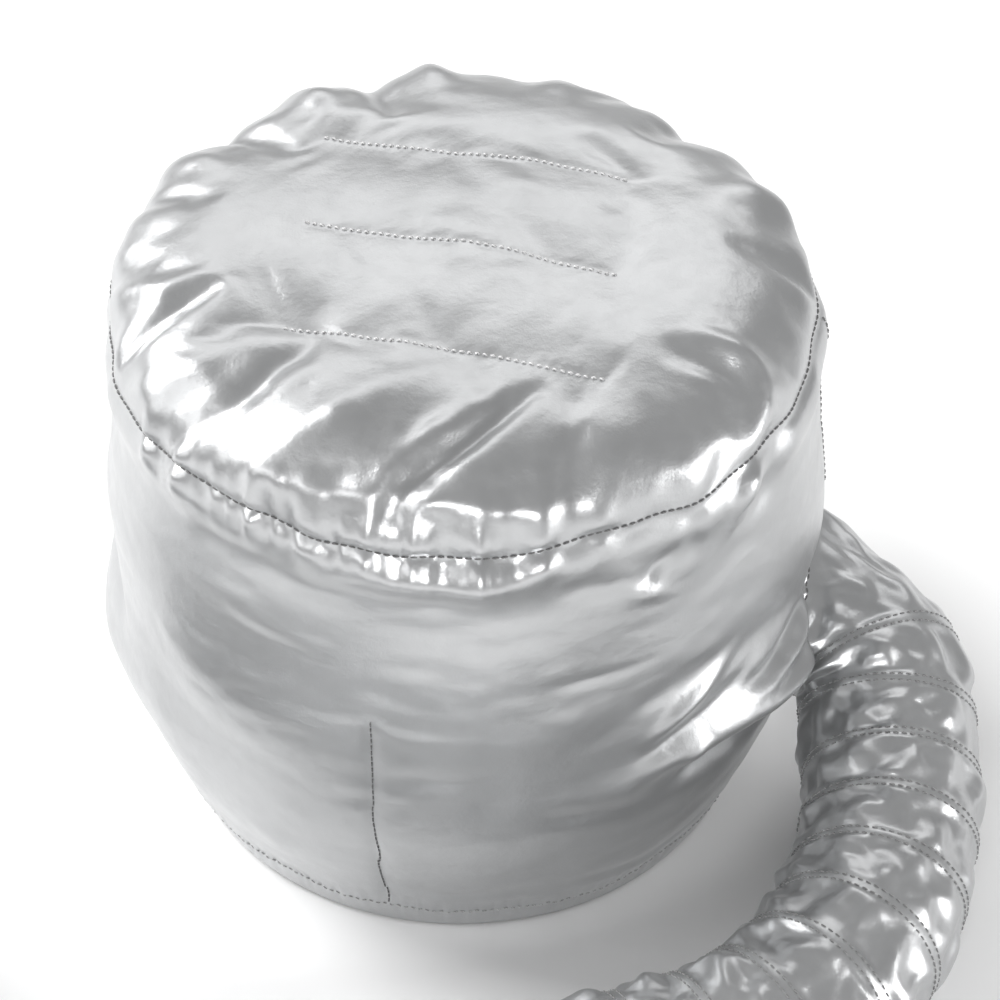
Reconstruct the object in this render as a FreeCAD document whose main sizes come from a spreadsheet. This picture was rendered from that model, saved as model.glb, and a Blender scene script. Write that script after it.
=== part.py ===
"""Soft bonnet hair dryer: a sewn hood of coated cloth with its lining, a drawcord hem, and a hooped hose.

The part stands on its hem. Its origin is the centre of the hem's underside, +Z is up, and the hose
leaves the side panel at +X. Lengths are in millimetres and angles in degrees.
"""
import FreeCAD, Part
import math
import os
import Sketcher
from FreeCAD import Placement, Rotation, Vector

SIZES = {
    # hood
    "cloth": 1.0,
    "seam_radius": 140.0,
    "seam_height": 230.0,
    "crown_height": 266.0,
    "crown_flat_radius": 114.0,
    "crown_flat_height": 258.0,
    "crown_dome": 816.0,
    "crown_roll": 28.0,
    "crown_middle": 12.0,
    "belly_radius": 144.0,
    "belly_height": 84.0,
    "upper_bow": 1400.0,
    "lower_bow": 115.0,
    # hem casing, a tube of cloth that the drawcord runs in
    "hem_radius": 118.0,
    "hem_width": 6.0,
    "hem_height": 14.0,
    "hem_wall": 0.9,
    # linings
    "lining_cloth": 0.8,
    "lining_top_radius": 128.0,
    "lining_belly_radius": 131.0,
    "lining_foot_radius": 114.5,
    "lining_flat_radius": 106.0,
    "lining_flat_height": 251.0,
    "lining_crown_height": 258.0,
    "lining_middle": 12.0,
    "lining_roll": 23.0,
    "vent_radius": 5.0,
    "vents_round": 16,
    "vent_rows": 4,
    "vent_foot": 60.0,
    "vent_pitch": 45.0,
    "crown_vents_round": 10,
    "crown_vent_ring": 62.0,
    # stitching
    "thread": 0.4,
    "thread_gap": 0.15,
    "quilt_turn": -14.0,
    "quilt_length": 128.0,
    "quilt_pitch": 62.0,
    "quilt_shift": 18.0,
    "dart_foot": 17.0,
    "dart_head": 142.0,
    "dart_break": 0.8,
    "side_seam_foot": 142.0,
    # hose
    "hose_radius": 37.0,
    "sleeve_cloth": 0.8,
    "hoop_wire": 0.8,
    "hoop_gap": 0.3,
    "hoop_pitch": 30.0,
    "first_hoop": 44.0,
    "tape_width": 6.0,
    "tape_cloth": 1.0,
    # cuff, which grips a hand dryer's nozzle
    "cuff_bore": 26.0,
    "cuff_cloth": 1.2,
    "cuff_taper": 25.0,
    "cuff_length": 70.0,
    "cuff_casing": 13.0,
    "cuff_casing_radius": 32.6,
    "cuff_elastic": 1.6,
    "cuff_seam_set_back": 4.0,
    # drawcord and its lock
    "cord_radius": 1.25,
    "cord_spacing": 1.4,
    "cord_turn": 4.0,
    "cord_reach": 58.0,
    "eyelet_bore": 4.0,
    "eyelet_flange": 6.0,
    "eyelet_sheet": 0.5,
    "eyelet_gap": 0.05,
    "eyelet_depth": 0.25,
    "lock_radius": 6.5,
    "lock_length": 20.5,
    "lock_floor": 1.5,
    "lock_bore": 5.1,
    "lock_stand_off": 14.0,
    "lock_round_edge": 1.5,
    "lock_open_end": 8.5,
    "slot_width": 5.4,
    "slot_height": 3.0,
    "plunger_radius": 5.0,
    "plunger_length": 19.4,
    "plunger_travel": 3.0,
    "plunger_free_end": 6.0,
    "plunger_round_edge": 2.0,
    "spring_wire": 0.35,
    "spring_radius": 2.6,
    "spring_turns": 3,
    "spring_gap": 0.05,
    "cord_end_radius": 4.5,
    "cord_end_length": 9.0,
    "cord_end_dome": 6.0,
}

# The hose's centreline from the hood to its cuff. It bends at these points.
HOSE_ROUTE = [
    Vector(139, 3, 88),
    Vector(176, -16, 69),
    Vector(181, -60, 48),
    Vector(177, -106, 40),
    Vector(165, -152, 38),
    Vector(138, -194, 38),
    Vector(100, -224, 38),
    Vector(50, -242, 38),
    Vector(-22, -257, 38),
    Vector(-104, -264, 38),
    Vector(-186, -256, 38),
    Vector(-252, -224, 38),
    Vector(-296, -166, 38),
    Vector(-314, -96, 38),
]
BEND_SHARE = 0.45  # of the shorter run beside a bend is taken up by its arc
LEAD_IN = 30.0  # the hose is drawn from this far inside the hood, then trimmed at the panel
Z_AXIS = Vector(0, 0, 1)

doc = FreeCAD.newDocument("BonnetDryer")


# ---------------------------------------------------------------- sizes

sheet = doc.addObject("Spreadsheet::Sheet", "Sizes")
for row, (alias, size) in enumerate(SIZES.items(), start=1):
    sheet.set(f"A{row}", alias)
    sheet.set(f"B{row}", str(size))
    sheet.setAlias(f"B{row}", alias)
doc.recompute()


class Size:
    """A size worked out from the sheet: its number, and the expression that binds it to the cells."""

    def __init__(self, text, value):
        self.text = text
        self.value = value

    def __add__(self, other):
        other = as_size(other)
        return Size(f"({self.text} + {other.text})", self.value + other.value)

    def __sub__(self, other):
        other = as_size(other)
        return Size(f"({self.text} - {other.text})", self.value - other.value)

    def __mul__(self, other):
        other = as_size(other)
        return Size(f"({self.text} * {other.text})", self.value * other.value)

    def __truediv__(self, other):
        other = as_size(other)
        return Size(f"({self.text} / {other.text})", self.value / other.value)


def as_size(value):
    return value if isinstance(value, Size) else Size(str(value), float(value))


def cell(alias):
    return Size(f"Sizes.{alias}", float(SIZES[alias]))


def number(alias):
    return float(SIZES[alias])


# ---------------------------------------------------------------- drawing helpers


def origin_feature(body, role):
    return next(item for item in body.Origin.OriginFeatures if item.Role == role)


def new_sketch(body, name, role):
    sketch = body.newObject("Sketcher::SketchObject", name)
    sketch.AttachmentSupport = [(origin_feature(body, role), "")]
    sketch.MapMode = "FlatFace"
    return sketch


def bind(sketch, constraint, size):
    """Adds a constraint that carries a size, and binds it to the sheet."""
    index = sketch.addConstraint(constraint)
    sketch.setExpression(f"Constraints[{index}]", as_size(size).text)


def fix_point(sketch, geometry, end, across, up):
    """Places a point of the sketch at its distances from the sketch's origin."""
    for kind, size, axis in (("DistanceX", across, -2), ("DistanceY", up, -1)):
        if size.value == 0:
            sketch.addConstraint(Sketcher.Constraint("PointOnObject", geometry, end, axis))
        else:
            constraint = Sketcher.Constraint(kind, -1, 1, geometry, end, size.value)
            bind(sketch, constraint, size)


def arc_middle(start, finish, radius):
    """The middle of the arc between two points, bulging to the right of the way from start to finish."""
    chord = finish - start
    height = radius - math.sqrt(radius**2 - (chord.Length / 2) ** 2)
    right = Vector(chord.y, -chord.x, 0).normalize()
    return (start + finish) * 0.5 + right * height


def draw_outline(sketch, corners, bows=None):
    """A closed outline through corners, each (across, up). bows gives the radius of the arc that leaves
    a corner, by the corner's number: above 0 it bulges to the right of the way round, below 0 to the left."""
    bows = bows or {}
    corners = [(as_size(across), as_size(up)) for across, up in corners]
    points = [Vector(across.value, up.value, 0) for across, up in corners]
    ends = []
    for i, start in enumerate(points):
        finish = points[(i + 1) % len(points)]
        bow = as_size(bows[i]) if i in bows else None
        if bow is None:
            geometry = sketch.addGeometry(Part.LineSegment(start, finish), False)
        elif bow.value > 0:
            curve = Part.Arc(start, arc_middle(start, finish, bow.value), finish)
            geometry = sketch.addGeometry(curve, False)
        else:
            curve = Part.Arc(start, arc_middle(finish, start, -bow.value), finish)
            geometry = sketch.addGeometry(curve, False)
        first = 1 if sketch.getPoint(geometry, 1).distanceToPoint(start) < 1e-6 else 2
        ends.append((geometry, first, 3 - first))
    for i, (geometry, first, last) in enumerate(ends):
        following, following_first, _ = ends[(i + 1) % len(ends)]
        sketch.addConstraint(Sketcher.Constraint("Coincident", geometry, last, following, following_first))
        fix_point(sketch, geometry, first, *corners[i])
        if i in bows:
            radius = as_size(bows[i])
            if radius.value < 0:
                radius = as_size(0) - radius
            bind(sketch, Sketcher.Constraint("Radius", geometry, radius.value), radius)


def turned_body(name, *outlines):
    """A body turned about its Z axis. Each outline is (corners, bows); one inside another is a hollow."""
    body = doc.addObject("PartDesign::Body", name)
    sketch = new_sketch(body, name + "_outline", "XZ_Plane")
    for corners, bows in outlines:
        draw_outline(sketch, corners, bows)
    turn = body.newObject("PartDesign::Revolution", name + "_turn")
    turn.Profile = sketch
    turn.ReferenceAxis = (sketch, ["V_Axis"])
    turn.Angle = 360
    return body


def primitive(kind, name, placement=None, **sizes):
    item = doc.addObject("Part::" + kind, name)
    for field, size in sizes.items():
        item.setExpression(field, as_size(size).text)
    if placement:
        item.Placement = placement
    return item


def boolean(kind, name, base, tool):
    item = doc.addObject("Part::" + kind, name)
    item.Base = base
    item.Tool = tool
    return item


def swept(name, path, section):
    """A solid swept along a wire or an edge, with a circle standing on the path's start."""
    spine = doc.addObject("Part::Feature", name + "_path")
    spine.Shape = path
    start = path.OrderedEdges[0]
    at = start.FirstParameter if start.Orientation == "Forward" else start.LastParameter
    way = start.tangentAt(at) * (1 if start.Orientation == "Forward" else -1)
    circle = primitive("Circle", name + "_section", facing(start.valueAt(at), way), Radius=section)
    sweep = doc.addObject("Part::Sweep", name)
    sweep.Sections = [circle]
    sweep.Spine = (spine, [f"Edge{i + 1}" for i in range(len(path.Edges))])
    sweep.Solid = True
    sweep.Frenet = False
    return sweep


def thread(name, points):
    """A sewing thread along the arc through three points on the cloth."""
    return swept(name, Part.Wire([Part.Arc(*points).toShape()]), cell("thread"))


def facing(point, way):
    """Stands something that is drawn about +Z on a point, pointing another way."""
    return Placement(point, Rotation(Z_AXIS, way))


SUB_PARTS = {}


def keep(item, label):
    """Names a finished sub-part. Its label is its file's name."""
    item.Label = label
    SUB_PARTS[label] = item
    return item


# ---------------------------------------------------------------- the hood's surface


def bowed_radius(foot, head, bow, height):
    """The radius at a height on an arc that bulges outward between two (radius, height) corners."""
    start, finish = Vector(*foot, 0), Vector(*head, 0)
    middle = (start + finish) * 0.5
    half = (finish - start).Length / 2
    inward = Vector(start.y - finish.y, finish.x - start.x, 0).normalize()
    centre = middle + inward * math.sqrt(bow**2 - half**2)
    return centre.x + math.sqrt(bow**2 - (height - centre.y) ** 2)


def side_radius(height):
    """The outer radius of the side panel at a height."""
    belly = (number("belly_radius"), number("belly_height"))
    if height <= belly[1]:
        foot = (number("hem_radius"), number("hem_height"))
        return bowed_radius(foot, belly, number("lower_bow"), height)
    head = (number("seam_radius"), number("seam_height"))
    return bowed_radius(belly, head, number("upper_bow"), height)


THREAD_LIFT = number("thread") + number("thread_gap")


def side_line(turn, foot, head):
    """Three points up the side panel, from one height to another, at an angle round the hood."""
    spin = Rotation(Z_AXIS, turn)
    heights = (foot, (foot + head) / 2, head)
    return [spin.multVec(Vector(side_radius(z) + THREAD_LIFT, 0, z)) for z in heights]


def crown_line(offset, shift):
    """Three points along a quilting line on the crown's dome, offset from its middle."""
    dome = number("crown_dome")
    centre = number("crown_height") - dome
    spin = Rotation(Z_AXIS, number("quilt_turn"))
    points = []
    for share in (-0.5, 0, 0.5):
        across = number("quilt_length") * share + shift
        rise = math.sqrt((dome + THREAD_LIFT) ** 2 - across**2 - offset**2)
        points.append(spin.multVec(Vector(across, offset, centre + rise)))
    return points


# ---------------------------------------------------------------- the hood's panels

cloth = cell("cloth")


def make_crown_panel():
    outer_edge = (cell("crown_flat_radius"), cell("crown_flat_height"))
    inner_edge = (outer_edge[0] - cloth * 0.3, outer_edge[1] - cloth)
    middle = cell("crown_middle")
    corners = [
        (0, cell("crown_height")),
        (middle, cell("crown_height")),
        outer_edge,
        (cell("seam_radius"), cell("seam_height")),
        (cell("seam_radius") - cloth, cell("seam_height")),
        inner_edge,
        (middle, cell("crown_height") - cloth),
        (0, cell("crown_height") - cloth),
    ]
    dome, roll = cell("crown_dome"), cell("crown_roll")
    bows = {1: as_size(0) - dome, 2: as_size(0) - roll, 4: roll - cloth, 5: dome - cloth}
    return keep(turned_body("CrownPanel", (corners, bows)), "crown_panel")


def side_outline(inside, outside):
    """The side panel's section between two distances in from its outer surface."""
    foot = (cell("hem_radius"), cell("hem_height"))
    belly = (cell("belly_radius"), cell("belly_height"))
    head = (cell("seam_radius"), cell("seam_height"))
    corners = [(radius - outside, height) for radius, height in (foot, belly, head)]
    corners += [(radius - inside, height) for radius, height in (head, belly, foot)]
    lower, upper = cell("lower_bow"), cell("upper_bow")
    return corners, {0: lower, 1: upper, 3: as_size(0) - upper, 4: as_size(0) - lower}


def make_side_panel(hose_opening):
    panel = turned_body("SidePanelRound", side_outline(cloth, 0))
    return keep(boolean("Cut", "SidePanel", panel, hose_opening), "side_panel")


def make_hood_core():
    """The whole space inside the side panel's outer surface, which trims the hose."""
    corners = [
        (0, cell("hem_height")),
        (cell("hem_radius"), cell("hem_height")),
        (cell("belly_radius"), cell("belly_height")),
        (cell("seam_radius"), cell("seam_height")),
        (0, cell("seam_height")),
    ]
    return turned_body("HoodCore", (corners, {1: cell("lower_bow"), 2: cell("upper_bow")}))


def make_hem_casing(eyelet_opening):
    outer, width, height = cell("hem_radius"), cell("hem_width"), cell("hem_height")
    wall = cell("hem_wall")
    outside = [(outer - width, 0), (outer, 0), (outer, height), (outer - width, height)]
    inside = [
        (outer - width + wall, wall),
        (outer - wall, wall),
        (outer - wall, height - wall),
        (outer - width + wall, height - wall),
    ]
    casing = turned_body("HemCasingRound", (outside, {}), (inside, {}))
    return keep(boolean("Cut", "HemCasing", casing, eyelet_opening), "hem_casing")


def drill_vents(body, name, role, count, places):
    """Air holes: a row of circles cut through the cloth, repeated round the hood's axis."""
    sketch = new_sketch(body, name + "_circles", role)
    for across, up in places:
        centre = Vector(across.value, up.value, 0)
        circle = sketch.addGeometry(Part.Circle(centre, Z_AXIS, number("vent_radius")), False)
        fix_point(sketch, circle, 3, across, up)
        bind(sketch, Sketcher.Constraint("Radius", circle, number("vent_radius")), cell("vent_radius"))
    pocket = body.newObject("PartDesign::Pocket", name + "_cut")
    pocket.Profile = sketch
    pocket.setExpression("Length", "Sizes.crown_height + 10")
    pocket.Reversed = role == "XY_Plane"
    pattern = body.newObject("PartDesign::PolarPattern", name + "_round")
    pattern.Originals = [pocket]
    pattern.Axis = (origin_feature(body, "Z_Axis"), [""])
    pattern.Angle = 360
    pattern.setExpression("Occurrences", count.text)
    body.Tip = pattern


def make_side_lining():
    skin = cell("lining_cloth")
    outer = [
        (cell("lining_foot_radius"), cell("hem_height")),
        (cell("lining_belly_radius"), cell("belly_height")),
        (cell("lining_top_radius"), cell("seam_height")),
    ]
    corners = outer + [(radius - skin, height) for radius, height in reversed(outer)]
    bows = {
        0: cell("lower_bow"),
        1: cell("upper_bow"),
        3: as_size(0) - cell("upper_bow"),
        4: as_size(0) - cell("lower_bow"),
    }
    lining = turned_body("SideLining", (corners, bows))
    rows = range(int(number("vent_rows")))
    places = [(as_size(0), cell("vent_foot") + cell("vent_pitch") * row) for row in rows]
    drill_vents(lining, "SideVents", "XZ_Plane", cell("vents_round"), places)
    return keep(lining, "side_lining")


def make_crown_lining():
    """A shallow cone of cloth with a flat middle, rolled down to the side lining."""
    skin = cell("lining_cloth")
    middle = (cell("lining_middle"), cell("lining_crown_height"))
    edge = (cell("lining_flat_radius"), cell("lining_flat_height"))
    corners = [
        (0, middle[1]),
        middle,
        edge,
        (cell("lining_top_radius"), cell("seam_height")),
        (cell("lining_top_radius") - skin, cell("seam_height")),
        (edge[0] - skin * 0.3, edge[1] - skin),
        (middle[0], middle[1] - skin),
        (0, middle[1] - skin),
    ]
    roll = cell("lining_roll")
    bows = {2: as_size(0) - roll, 4: roll - skin}
    lining = turned_body("CrownLining", (corners, bows))
    places = [(cell("crown_vent_ring"), as_size(0))]
    drill_vents(lining, "CrownVents", "XY_Plane", cell("crown_vents_round"), places)
    return keep(lining, "crown_lining")


# ---------------------------------------------------------------- stitching


def make_ring_thread(name, radius, height):
    ring = primitive("Torus", name.title().replace("_", ""), Radius1=radius, Radius2=cell("thread"))
    ring.setExpression("Placement.Base.z", as_size(height).text)
    return keep(ring, name)


def make_hood_threads():
    lift = cell("thread") + cell("thread_gap")
    make_ring_thread("crown_seam_thread", cell("seam_radius") + lift, cell("seam_height"))
    hem_seam = number("hem_height") + lift.value
    make_ring_thread("hem_seam_thread", as_size(side_radius(hem_seam)) + lift, hem_seam)
    lining_seam = cell("lining_top_radius") - cell("lining_cloth") - lift
    make_ring_thread("lining_seam_thread", lining_seam, cell("seam_height") - lift * 3)
    for i, place in enumerate(("front", "middle", "back")):
        offset = number("quilt_pitch") * (i - 1)
        shift = number("quilt_shift") * (1 - i) * 0.5
        keep(thread("QuiltThread" + place, crown_line(offset, shift)), f"quilt_thread_{place}")
    for i, place in enumerate(("front", "left", "back")):
        turn = number("quilt_turn") - 90 * (i + 1)
        break_at, half_gap = number("belly_height"), number("dart_break") / 2
        lower = side_line(turn, number("dart_foot"), break_at - half_gap)
        upper = side_line(turn, break_at + half_gap, number("dart_head"))
        line = doc.addObject("Part::Compound", "DartThread" + place)
        line.Links = [thread(f"Dart{place}Lower", lower), thread(f"Dart{place}Upper", upper)]
        keep(line, f"dart_thread_{place}")
    seam = side_line(0, number("side_seam_foot"), number("seam_height") - 2)
    keep(thread("SideSeamThread", seam), "side_seam_thread")


# ---------------------------------------------------------------- hose


def bent_path(route, lead_in=0.0):
    """The hose's path: straight runs joined by tangent arcs, each as large as its runs allow."""
    edges = []
    start = route[0] - (route[1] - route[0]).normalize() * lead_in
    for before, corner, after in zip(route, route[1:], route[2:]):
        arriving = (corner - before).normalize()
        leaving = (after - corner).normalize()
        turn = arriving.getAngle(leaving)
        cut = BEND_SHARE * min((corner - before).Length, (after - corner).Length)
        radius = cut / math.tan(turn / 2)
        bend_start, bend_finish = corner - arriving * cut, corner + leaving * cut
        towards_centre = (leaving - arriving).normalize()
        depth = radius / math.cos(turn / 2) - radius
        edges.append(Part.LineSegment(start, bend_start).toShape())
        edges.append(Part.Arc(bend_start, corner + towards_centre * depth, bend_finish).toShape())
        start = bend_finish
    edges.append(Part.LineSegment(start, route[-1]).toShape())
    return Part.Wire(edges)


def place_along(path, distance):
    """The point and the direction at a distance along a path."""
    for edge in path.OrderedEdges:
        if distance <= edge.Length:
            at = edge.getParameterByLength(distance)
            return edge.valueAt(at), edge.tangentAt(at)
        distance -= edge.Length
    raise ValueError("the distance is past the path's end")


HOSE_WAY = (HOSE_ROUTE[1] - HOSE_ROUTE[0]).normalize()
HOSE_START = HOSE_ROUTE[0] - HOSE_WAY * LEAD_IN
HOSE_END = HOSE_ROUTE[-1]
CUFF_WAY = (HOSE_ROUTE[-1] - HOSE_ROUTE[-2]).normalize()


def inlet_cylinder(name, radius, length=2 * LEAD_IN):
    """A round bar along the hose's first run, through the side panel."""
    return primitive("Cylinder", name, facing(HOSE_START, HOSE_WAY), Radius=radius, Height=length)


def make_hose_sleeve(hood_core):
    radius, skin = cell("hose_radius"), cell("sleeve_cloth")
    path = bent_path(HOSE_ROUTE, LEAD_IN)
    outside = swept("SleeveOutside", path, radius)
    inside = swept("SleeveInside", path, radius - skin)
    tube = boolean("Cut", "SleeveTube", outside, inside)
    doc.recompute()
    section = math.pi * (radius.value**2 - (radius.value - skin.value) ** 2)
    print(f"sleeve volume {tube.Shape.Volume:.0f}, section times length {section * path.Length:.0f} mm3")
    print(f"hose length from the hood {path.Length - LEAD_IN:.0f} mm")
    keep(boolean("Cut", "HoseSleeve", tube, hood_core), "hose_sleeve")
    return outside


def make_hoops():
    """The hose's wire hoops inside the sleeve, and the threads round it that hold them."""
    path = bent_path(HOSE_ROUTE)
    pitch = number("hoop_pitch")
    reach = cell("hose_radius") - cell("sleeve_cloth") - cell("hoop_gap") - cell("hoop_wire")
    lift = cell("thread") + cell("thread_gap")
    hoops, threads = [], []
    first = number("first_hoop")
    for i in range(int((path.Length - first) / pitch)):
        at = facing(*place_along(path, first + pitch * i))
        hoop = primitive("Torus", f"Hoop{i + 1}", at, Radius1=reach, Radius2=cell("hoop_wire"))
        stitch = primitive("Torus", f"HoopThread{i + 1}", at, Radius2=cell("thread"))
        stitch.setExpression("Radius1", (cell("hose_radius") + lift).text)
        hoops.append(hoop)
        threads.append(stitch)
    for name, items, label in (("Hoops", hoops, "hose_hoops"), ("HoopThreads", threads, "hoop_threads")):
        group = doc.addObject("Part::Compound", name)
        group.Links = items
        keep(group, label)


def make_inlet_tape(hose):
    """A tape of cloth round the hose opening, which binds the sleeve to the side panel."""
    skin = turned_body("TapeSkin", side_outline(0, as_size(0) - cell("tape_cloth")))
    rim = inlet_cylinder("TapeRim", cell("hose_radius") + cell("tape_width"))
    patch = boolean("Common", "TapePatch", rim, skin)
    keep(boolean("Cut", "InletTape", patch, hose), "inlet_tape")


def make_inlet_thread(steps=28):
    """The stitch line round the inlet tape, where a wider bar meets the tape's outer face.

    It stops just short of its own start, as a sewn line does.
    """
    radius = number("hose_radius") + number("tape_width") / 2
    turned = facing(HOSE_ROUTE[0], HOSE_WAY)
    points = []
    for i in range(steps):
        turn = 2 * math.pi * 0.985 * i / (steps - 1)
        point = turned.multVec(Vector(radius * math.cos(turn), radius * math.sin(turn), 0))
        for _ in range(20):
            target = side_radius(point.z) + number("tape_cloth") + THREAD_LIFT
            outward = Vector(point.x, point.y, 0).normalize()
            point += HOSE_WAY * ((target - math.hypot(point.x, point.y)) / outward.dot(HOSE_WAY))
        points.append(point)
    curve = Part.BSplineCurve()
    curve.interpolate(points)
    keep(swept("InletThread", Part.Wire([curve.toShape()]), cell("thread")), "inlet_thread")


def make_cuff():
    radius, skin = cell("hose_radius"), cell("sleeve_cloth")
    bore, band, taper = cell("cuff_bore"), cell("cuff_cloth"), cell("cuff_taper")
    length, casing, bulge = cell("cuff_length"), cell("cuff_casing"), cell("cuff_casing_radius")
    outside = [
        (radius, 0),
        (bore + band, taper),
        (bore + band, length - casing),
        (bulge, length - casing),
        (bulge, length),
        (bore, length),
        (bore, taper),
        (radius - skin, 0),
    ]
    channel = [
        (bore + band, length - casing + band),
        (bulge - band, length - casing + band),
        (bulge - band, length - band),
        (bore + band, length - band),
    ]
    cuff = turned_body("Cuff", (outside, {}), (channel, {}))
    cuff.Placement = facing(HOSE_END, CUFF_WAY)
    keep(cuff, "hose_cuff")

    middle = number("cuff_length") - number("cuff_casing") / 2
    at = facing(HOSE_END + CUFF_WAY * middle, CUFF_WAY)
    reach = (cell("cuff_bore") + band + bulge - band) / 2
    ring = primitive("Torus", "CuffElastic", at, Radius1=reach, Radius2=cell("cuff_elastic"))
    keep(ring, "cuff_elastic")

    lift = cell("thread") + cell("thread_gap")
    at = facing(HOSE_END + CUFF_WAY * (number("cuff_taper") + number("cuff_seam_set_back")), CUFF_WAY)
    reach = cell("cuff_bore") + cell("cuff_cloth") + lift
    stitch = primitive("Torus", "CuffThread", at, Radius1=reach, Radius2=cell("thread"))
    keep(stitch, "cuff_seam_thread")


# ---------------------------------------------------------------- drawcord

CORD_HEIGHT = number("hem_height") / 2
CORD_RING = number("hem_radius") - number("hem_width") / 2
LOCK_Y = number("hem_radius") + number("lock_stand_off")


def make_eyelet():
    """A rolled metal eyelet in the casing's outer wall, at +Y. It is drawn about +Z, then turned."""
    bore, flange, plate = cell("eyelet_bore"), cell("eyelet_flange"), cell("eyelet_sheet")
    wall = cell("hem_wall")
    corners = [
        (bore, 0),
        (bore + plate, 0),
        (bore + plate, wall + plate),
        (flange, wall + plate),
        (flange, wall + plate * 2),
        (bore, wall + plate * 2),
    ]
    eyelet = turned_body("Eyelet", (corners, {}))
    depth = number("hem_radius") - number("hem_wall") - number("eyelet_depth")
    eyelet.Placement = facing(Vector(0, depth, CORD_HEIGHT), Vector(0, 1, 0))
    keep(eyelet, "hem_eyelet")
    reach = bore + plate + cell("eyelet_gap")
    hole = primitive("Cylinder", "EyeletHole", Radius=reach, Height=cell("hem_width") * 2)
    hole.Placement = facing(Vector(0, CORD_RING, CORD_HEIGHT), Vector(0, 1, 0))
    return hole


def make_drawcord():
    """One cord: round the casing, out through the eyelet side by side, and through the lock."""
    spacing, turn = number("cord_spacing"), number("cord_turn")
    centre_x = spacing + turn
    centre_y = math.sqrt((CORD_RING + turn) ** 2 - centre_x**2)
    end_y = number("hem_radius") + number("cord_reach")
    outward = Vector(centre_x, centre_y, 0).normalize()
    joins = outward * CORD_RING
    half_way = (Vector(-1, 0, 0) - outward).normalize() * turn
    up = Vector(0, 0, CORD_HEIGHT)

    def right(point):
        return point + up

    def left(point):
        return Vector(-point.x, point.y, 0) + up

    centre = Vector(centre_x, centre_y, 0)
    tail = [Vector(spacing, end_y, 0), Vector(spacing, centre_y, 0)]
    bend = [tail[1], centre + half_way, joins]
    edges = [
        Part.LineSegment(right(tail[0]), right(tail[1])).toShape(),
        Part.Arc(*[right(point) for point in bend]).toShape(),
        Part.Arc(right(joins), up - Vector(0, CORD_RING, 0), left(joins)).toShape(),
        Part.Arc(*[left(point) for point in reversed(bend)]).toShape(),
        Part.LineSegment(left(tail[1]), left(tail[0])).toShape(),
    ]
    keep(swept("Drawcord", Part.Wire(edges), cell("cord_radius")), "hem_drawcord")


def make_cord_end():
    """A moulded end that grips both strands of the cord."""
    radius, length = cell("cord_end_radius"), cell("cord_end_length")
    corners = [(0, 0), (radius, 0), (radius, length * 0.6), (radius * 0.5, length), (0, length)]
    end = turned_body("CordEnd", (corners, {2: as_size(0) - cell("cord_end_dome")}))
    end_y = number("hem_radius") + number("cord_reach")
    end.Placement = facing(Vector(0, end_y, CORD_HEIGHT), Vector(0, 1, 0))
    keep(end, "cord_end")


def cord_slot(name, low, width):
    """A flat hole for the two strands, running along Y, from a place along X."""
    slot = primitive("Box", name, Length=width, Width=cell("lock_radius") * 4, Height=cell("slot_height"))
    side = number("lock_radius") * 2
    slot.Placement.Base = Vector(low, LOCK_Y - side, CORD_HEIGHT - number("slot_height") / 2)
    return slot


def make_cord_lock():
    """A spring cord lock lying across the strands. Its plunger comes out at +X."""
    radius, length, floor = cell("lock_radius"), cell("lock_length"), cell("lock_floor")
    bore = cell("lock_bore")
    round_edge = cell("lock_round_edge")
    corners = [
        (0, 0),
        (radius - round_edge, 0),
        (radius, round_edge),
        (radius, length - round_edge),
        (radius - round_edge / 2, length),
        (bore, length),
        (bore, floor),
        (0, floor),
    ]
    shell = turned_body("LockShell", (corners, {1: round_edge}))
    open_end = number("lock_open_end")
    closed_end = open_end - number("lock_length")
    shell.Placement = facing(Vector(closed_end, LOCK_Y, CORD_HEIGHT), Vector(1, 0, 0))
    half_slot = number("slot_width") / 2
    hole = cord_slot("LockSlot", -half_slot, cell("slot_width"))
    keep(boolean("Cut", "CordLock", shell, hole), "lock_body")

    radius, length = cell("plunger_radius"), cell("plunger_length")
    round_edge = cell("plunger_round_edge")
    corners = [(0, 0), (radius, 0), (radius, length - round_edge), (radius - round_edge, length), (0, length)]
    pin = turned_body("PlungerRound", (corners, {2: round_edge}))
    inner_end = open_end + number("plunger_free_end") - number("plunger_length")
    pin.Placement = facing(Vector(inner_end, LOCK_Y, CORD_HEIGHT), Vector(1, 0, 0))
    hole = cord_slot("PlungerSlot", -half_slot, cell("slot_width") + cell("plunger_travel"))
    keep(boolean("Cut", "Plunger", pin, hole), "lock_plunger")

    floor_x = closed_end + number("lock_floor")
    gap = inner_end - floor_x
    wire, turns = number("spring_wire"), number("spring_turns")
    clear = number("spring_gap")
    pitch = (gap - 2 * wire - 2 * clear) / turns
    coil = doc.addObject("Part::Helix", "SpringPath")
    coil.Pitch = pitch
    coil.Height = pitch * turns
    coil.SegmentLength = 1
    coil.setExpression("Radius", "Sizes.spring_radius")
    section = primitive("Circle", "SpringSection", Radius=cell("spring_wire"))
    radius = number("spring_radius")
    section.Placement = facing(Vector(radius, 0, 0), Vector(0, 2 * math.pi * radius, pitch))
    spring = doc.addObject("Part::Sweep", "Spring")
    spring.Sections = [section]
    doc.recompute()
    spring.Spine = (coil, [f"Edge{i + 1}" for i in range(len(coil.Shape.Edges))])
    spring.Solid = True
    spring.Frenet = True
    spring.Placement = facing(Vector(floor_x + wire + clear, LOCK_Y, CORD_HEIGHT), Vector(1, 0, 0))
    keep(spring, "lock_spring")


# ---------------------------------------------------------------- the whole part


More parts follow.
